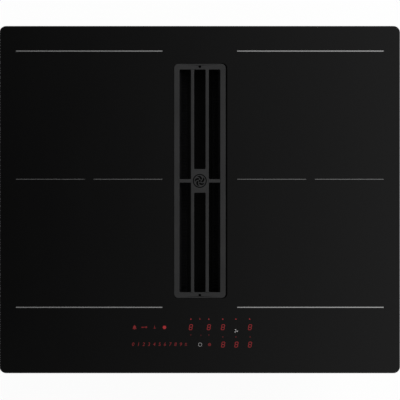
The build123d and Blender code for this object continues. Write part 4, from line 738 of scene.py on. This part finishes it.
def expanded_mesh(side):
    """Layers of expanded sheet in the space of one filter panel, inside a thin folded frame."""
    lean = math.radians(PANEL_LEAN if side == "right" else -PANEL_LEAN)
    (x0, y0, z0), (x1, y1, z1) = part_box(f"filter_mesh_{side}")
    centre = Vector(((x0 + x1) / 2, (y0 + y1) / 2, (z0 + z1) / 2))
    length = y1 - y0
    height = (z1 - z0 - PANEL_T * MM * math.sin(abs(lean))) / math.cos(lean)
    work = bmesh.new()
    for layer in range(MESH_LAYERS):
        add_mesh_layer(work, layer, length, height)
    add_panel_frame(work, length, height)
    mesh = bpy.data.meshes.new(f"filter_weave_{side}")
    bmesh.ops.recalc_face_normals(work, faces=work.faces)
    work.to_mesh(mesh)
    work.free()
    mesh.transform(Matrix.Translation(centre) @ Matrix.Rotation(lean, 4, "Y"))
    return mesh


def add_filter_mesh():
    wire = filter_wire()
    for side in ("left", "right"):
        piece = add_mesh(f"filter_weave_{side}", expanded_mesh(side), wire, "filter")
        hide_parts(f"filter_mesh_{side}")


# ---------------------------------------------------------------- finishes of the CAD nodes
def soften(width, *names, angle=EDGE_ANGLE):
    """Rounded edges of a width in mm on CAD nodes.

    A node's split vertices are welded first, and then a small bevel catches the light.
    """
    for name in names:
        weld = nodes[name].modifiers.new("weld", "WELD")
        weld.merge_threshold = NODE_WELD
        bevel = nodes[name].modifiers.new("edge", "BEVEL")
        bevel.width = width * MM
        bevel.segments = EDGE_SEGMENTS
        bevel.limit_method = "ANGLE"
        bevel.angle_limit = math.radians(angle)
        bevel.miter_outer = "MITER_ARC"


def dress(material, *names):
    """Gives CAD nodes a material in place of their own."""
    for name in names:
        materials = nodes[name].data.materials
        materials.clear()
        materials.append(material)


def finish_nodes():
    """A material for every CAD node, and rounded edges on those that show."""

    def pair(name):
        return [f"{name}_{side}" for side in ("left", "right")]

    def four(name):
        return [f"{name}_{end}_{side}" for end in ("front", "rear") for side in ("left", "right")]

    dress(ceramic_glass(), "glass_top")
    dress(rubber("foam_seal", (0.022, 0.022, 0.023)), "rim_seal")
    bead = rubber("silicone_bead", (0.05, 0.05, 0.052), roughness=0.45, cell=0.004, depth=0.00003)
    dress(bead, "glass_bond_bead")
    dress(rubber("gasket_foam", (0.004, 0.004, 0.004), 0.85), "duct_seal", "drain_plug_seal")
    dress(rubber("pad_rubber", (0.015, 0.015, 0.015)), "grille_pads", "motor_bushes")
    dress(galvanised("galvanised_sheet", (0.62, 0.64, 0.655)), "casing_pan", "glass_frame")
    screws = metal("zinc_screw", (0.66, 0.66, 0.63), 0.3, (900.0, 900.0, 300.0))
    dress(screws, "casing_screws", "duct_screws", "blower_case_screws", "clamp_screws")
    dress(cast_enamel(), "grille")
    # The basket's black is darker than real enamel: painted shade, so that the slots under the grille
    # read black.
    dress(moulded("filter_black_and_painted_shade", (0.0025, 0.0025, 0.0025), specular=0.08), "filter_basket")
    dress(moulded("duct_black", (0.003, 0.003, 0.003), 0.6, specular=0.1), "inlet_duct")
    dress(litz(), *four("coil"))
    dress(moulded("coil_former_resin", (0.62, 0.59, 0.52), 0.55), "coil_formers")
    dress(sintered("ferrite", (0.035, 0.035, 0.038), (0.09, 0.09, 0.095)), "ferrite_bars")
    dress(sintered("mica_sheet", (0.70, 0.66, 0.56), (0.58, 0.53, 0.43)), "coil_insulators")
    dress(sintered("sensor_ceramic", (0.85, 0.84, 0.80), (0.78, 0.77, 0.73)), "coil_sensors")
    dress(metal("rolled_aluminium", (0.74, 0.75, 0.76), 0.36), *pair("coil_tray"))
    dress(metal("spring_wire", (0.5, 0.5, 0.5), 0.28), "tray_springs")
    dress(moulded("post_resin", (0.52, 0.52, 0.50)), "support_posts")
    dress(circuit_board(), *pair("power_board"), "control_board")
    extruded = metal("extruded_aluminium", (0.68, 0.69, 0.70), 0.3, (1400.0, 30.0, 1400.0))
    dress(extruded, *pair("heatsink"))
    dress(electronic_parts(), *pair("board_parts"))
    dress(moulded("fan_black", (0.022, 0.022, 0.024), 0.45), *pair("fan_frame"))
    dress(moulded("fan_rotor_black", (0.03, 0.03, 0.032), 0.4), *pair("fan_rotor"))
    dress(moulded("carrier_black", (0.02, 0.02, 0.021)), "control_carrier")
    dress(moulded("digit_module", (0.04, 0.012, 0.014), 0.25), "display_digits")
    dress(metal("plated_spring", (0.62, 0.56, 0.40), 0.28), "touch_springs")
    dress(moulded("terminal_resin", (0.70, 0.68, 0.61)), "terminal_block")
    dress(moulded("cover_grey", (0.13, 0.135, 0.14)), "terminal_cover")
    dress(moulded("gland_grey", (0.21, 0.22, 0.23), 0.42), "mains_gland")
    dress(metal("claw_zinc", (0.62, 0.60, 0.52), 0.35), *four("clamp_claw"))
    case = moulded("case_black", (0.022, 0.0225, 0.024), 0.52, grain=0.0011, depth=0.00008)
    dress(case, "blower_case_upper", "blower_case_lower", "scroll_cover", "outlet_spigot")
    dress(moulded("wheel_black", (0.03, 0.03, 0.033), 0.42), "blower_impeller")
    dress(metal("motor_steel", (0.45, 0.45, 0.46), 0.34), "blower_rotor")
    stator = metal("stator_core", (0.36, 0.37, 0.38), 0.45, (40.0, 40.0, 2500.0))
    dress(stator, "blower_stator")
    dress(metal("bearing_steel", (0.72, 0.72, 0.73), 0.18), "motor_bearings")
    dress(moulded("plug_grey", (0.30, 0.31, 0.32), 0.45), "drain_plug")

    soften(0.35, "grille")
    soften(0.25, "glass_top", angle=40.0)
    soften(0.3, "filter_basket")
    soften(0.35, "casing_pan", angle=50.0)
    soften(0.6, "blower_case_upper", "blower_case_lower", "outlet_spigot", "terminal_cover")
    soften(0.5, "scroll_cover")
    soften(0.35, "drain_plug", "mains_gland", "rim_seal", "inlet_duct", *four("clamp_claw"))


# ---------------------------------------------------------------- stage, light and camera
def floor_material():
    """Near white for the eye and in reflections, with a soft shadow, and clear from below."""
    material = bpy.data.materials.new("floor_white")
    material.use_nodes = True
    tree = material.node_tree
    tree.nodes.clear()
    ray = add_node(tree, "ShaderNodeLightPath").outputs
    seen = math_node(tree, "MAXIMUM", ray["Is Camera Ray"], ray["Is Glossy Ray"])
    seen = math_node(tree, "MAXIMUM", seen, ray["Is Transmission Ray"])
    share = math_node(tree, "MULTIPLY", seen, FLOOR_WHITE)
    diffuse = add_node(tree, "ShaderNodeBsdfDiffuse", {"Color": FLOOR_COLOR}).outputs[0]
    glow = add_node(tree, "ShaderNodeEmission", {"Color": (*WHITE, 1)}).outputs[0]
    above = add_node(tree, "ShaderNodeMixShader", {0: share, 1: diffuse, 2: glow}).outputs[0]
    clear = add_node(tree, "ShaderNodeBsdfTransparent").outputs[0]
    below = add_node(tree, "ShaderNodeNewGeometry").outputs["Backfacing"]
    both = add_node(tree, "ShaderNodeMixShader", {0: below, 1: above, 2: clear}).outputs[0]
    add_node(tree, "ShaderNodeOutputMaterial", {"Surface": both})
    return material


def add_floor():
    """A plain floor at the object's foot."""
    mesh = bpy.data.meshes.new("floor")
    corners = [(x, y, cad_box[0].z) for x, y in bar(0, 0, FLOOR_SIZE, FLOOR_SIZE)]
    mesh.from_pydata(corners, [], [(0, 1, 2, 3)])
    mesh.materials.append(floor_material())
    floor = bpy.data.objects.new("floor", mesh)
    bpy.context.collection.objects.link(floor)


def add_world():
    """Pale to the eye. In reflections, a dark panel overhead and a light that grows to the right."""
    world = bpy.data.worlds.new("studio")
    bpy.context.scene.world = world
    world.use_nodes = True
    tree = world.node_tree
    tree.nodes.clear()

    def total(first, second):
        return math_node(tree, "ADD", first, second)

    def product(first, second):
        return math_node(tree, "MULTIPLY", first, second)

    way = add_node(tree, "ShaderNodeTexCoord").outputs["Generated"]
    axes = add_node(tree, "ShaderNodeSeparateXYZ", {0: way}).outputs
    x, y = axes["X"], axes["Y"]
    off = math_node(tree, "SUBTRACT", x, GLOW_CENTRE_X)
    far = total(product(off, off), product(product(y, y), GLOW_ALONG_Y))
    rise = total(product(far, GLOW_RISE), GLOW_LOW)
    lean = product(total(x, 1.0), 0.5)
    cap = total(product(product(lean, lean), GLOW_RIGHT - GLOW_LEFT), GLOW_LEFT)
    mirrored = math_node(tree, "MINIMUM", rise, cap)

    ray = add_node(tree, "ShaderNodeLightPath").outputs
    seen = math_node(tree, "MAXIMUM", ray["Is Camera Ray"], ray["Is Transmission Ray"])
    unseen = {0: ray["Is Glossy Ray"], 2: FILL, 3: mirrored}
    light = add_node(tree, "ShaderNodeMix", unseen).outputs[0]
    strength = add_node(tree, "ShaderNodeMix", {0: seen, 2: light, 3: 1.0}).outputs[0]
    background = add_node(tree, "ShaderNodeBackground", {"Strength": strength}).outputs[0]
    add_node(tree, "ShaderNodeOutputWorld", {"Surface": background})


def add_key_light():
    """A soft round lamp above, behind and to the right, which doesn't show in reflections."""
    lamp = bpy.data.lights.new("key_light", "AREA")
    lamp.shape = "DISK"
    lamp.size = KEY_LIGHT_SIZE
    lamp.energy = KEY_LIGHT_POWER
    made = bpy.data.objects.new("key_light", lamp)
    made.location = KEY_LIGHT_AT
    made.rotation_euler = (-Vector(KEY_LIGHT_AT)).to_track_quat("-Z", "Y").to_euler()
    made.visible_glossy = False
    bpy.context.collection.objects.link(made)


def add_camera():
    """The photograph's view, from straight above and far away."""
    camera = bpy.data.cameras.new("camera")
    camera.lens = CAMERA_LENS
    camera.sensor_width = CAMERA_SENSOR
    camera.clip_start, camera.clip_end = CAMERA_RANGE
    made = bpy.data.objects.new("camera", camera)
    made.location = Vector((CAMERA_X, CAMERA_Y, GLASS_TOP + CAMERA_HEIGHT)) * MM
    bpy.context.collection.objects.link(made)
    bpy.context.scene.camera = made


add_camera()
add_world()
add_key_light()
add_floor()
finish_nodes()
add_glass_graphics()
add_hub_symbol()
add_filter_mesh()
bpy.context.scene.view_settings.view_transform = "Standard"
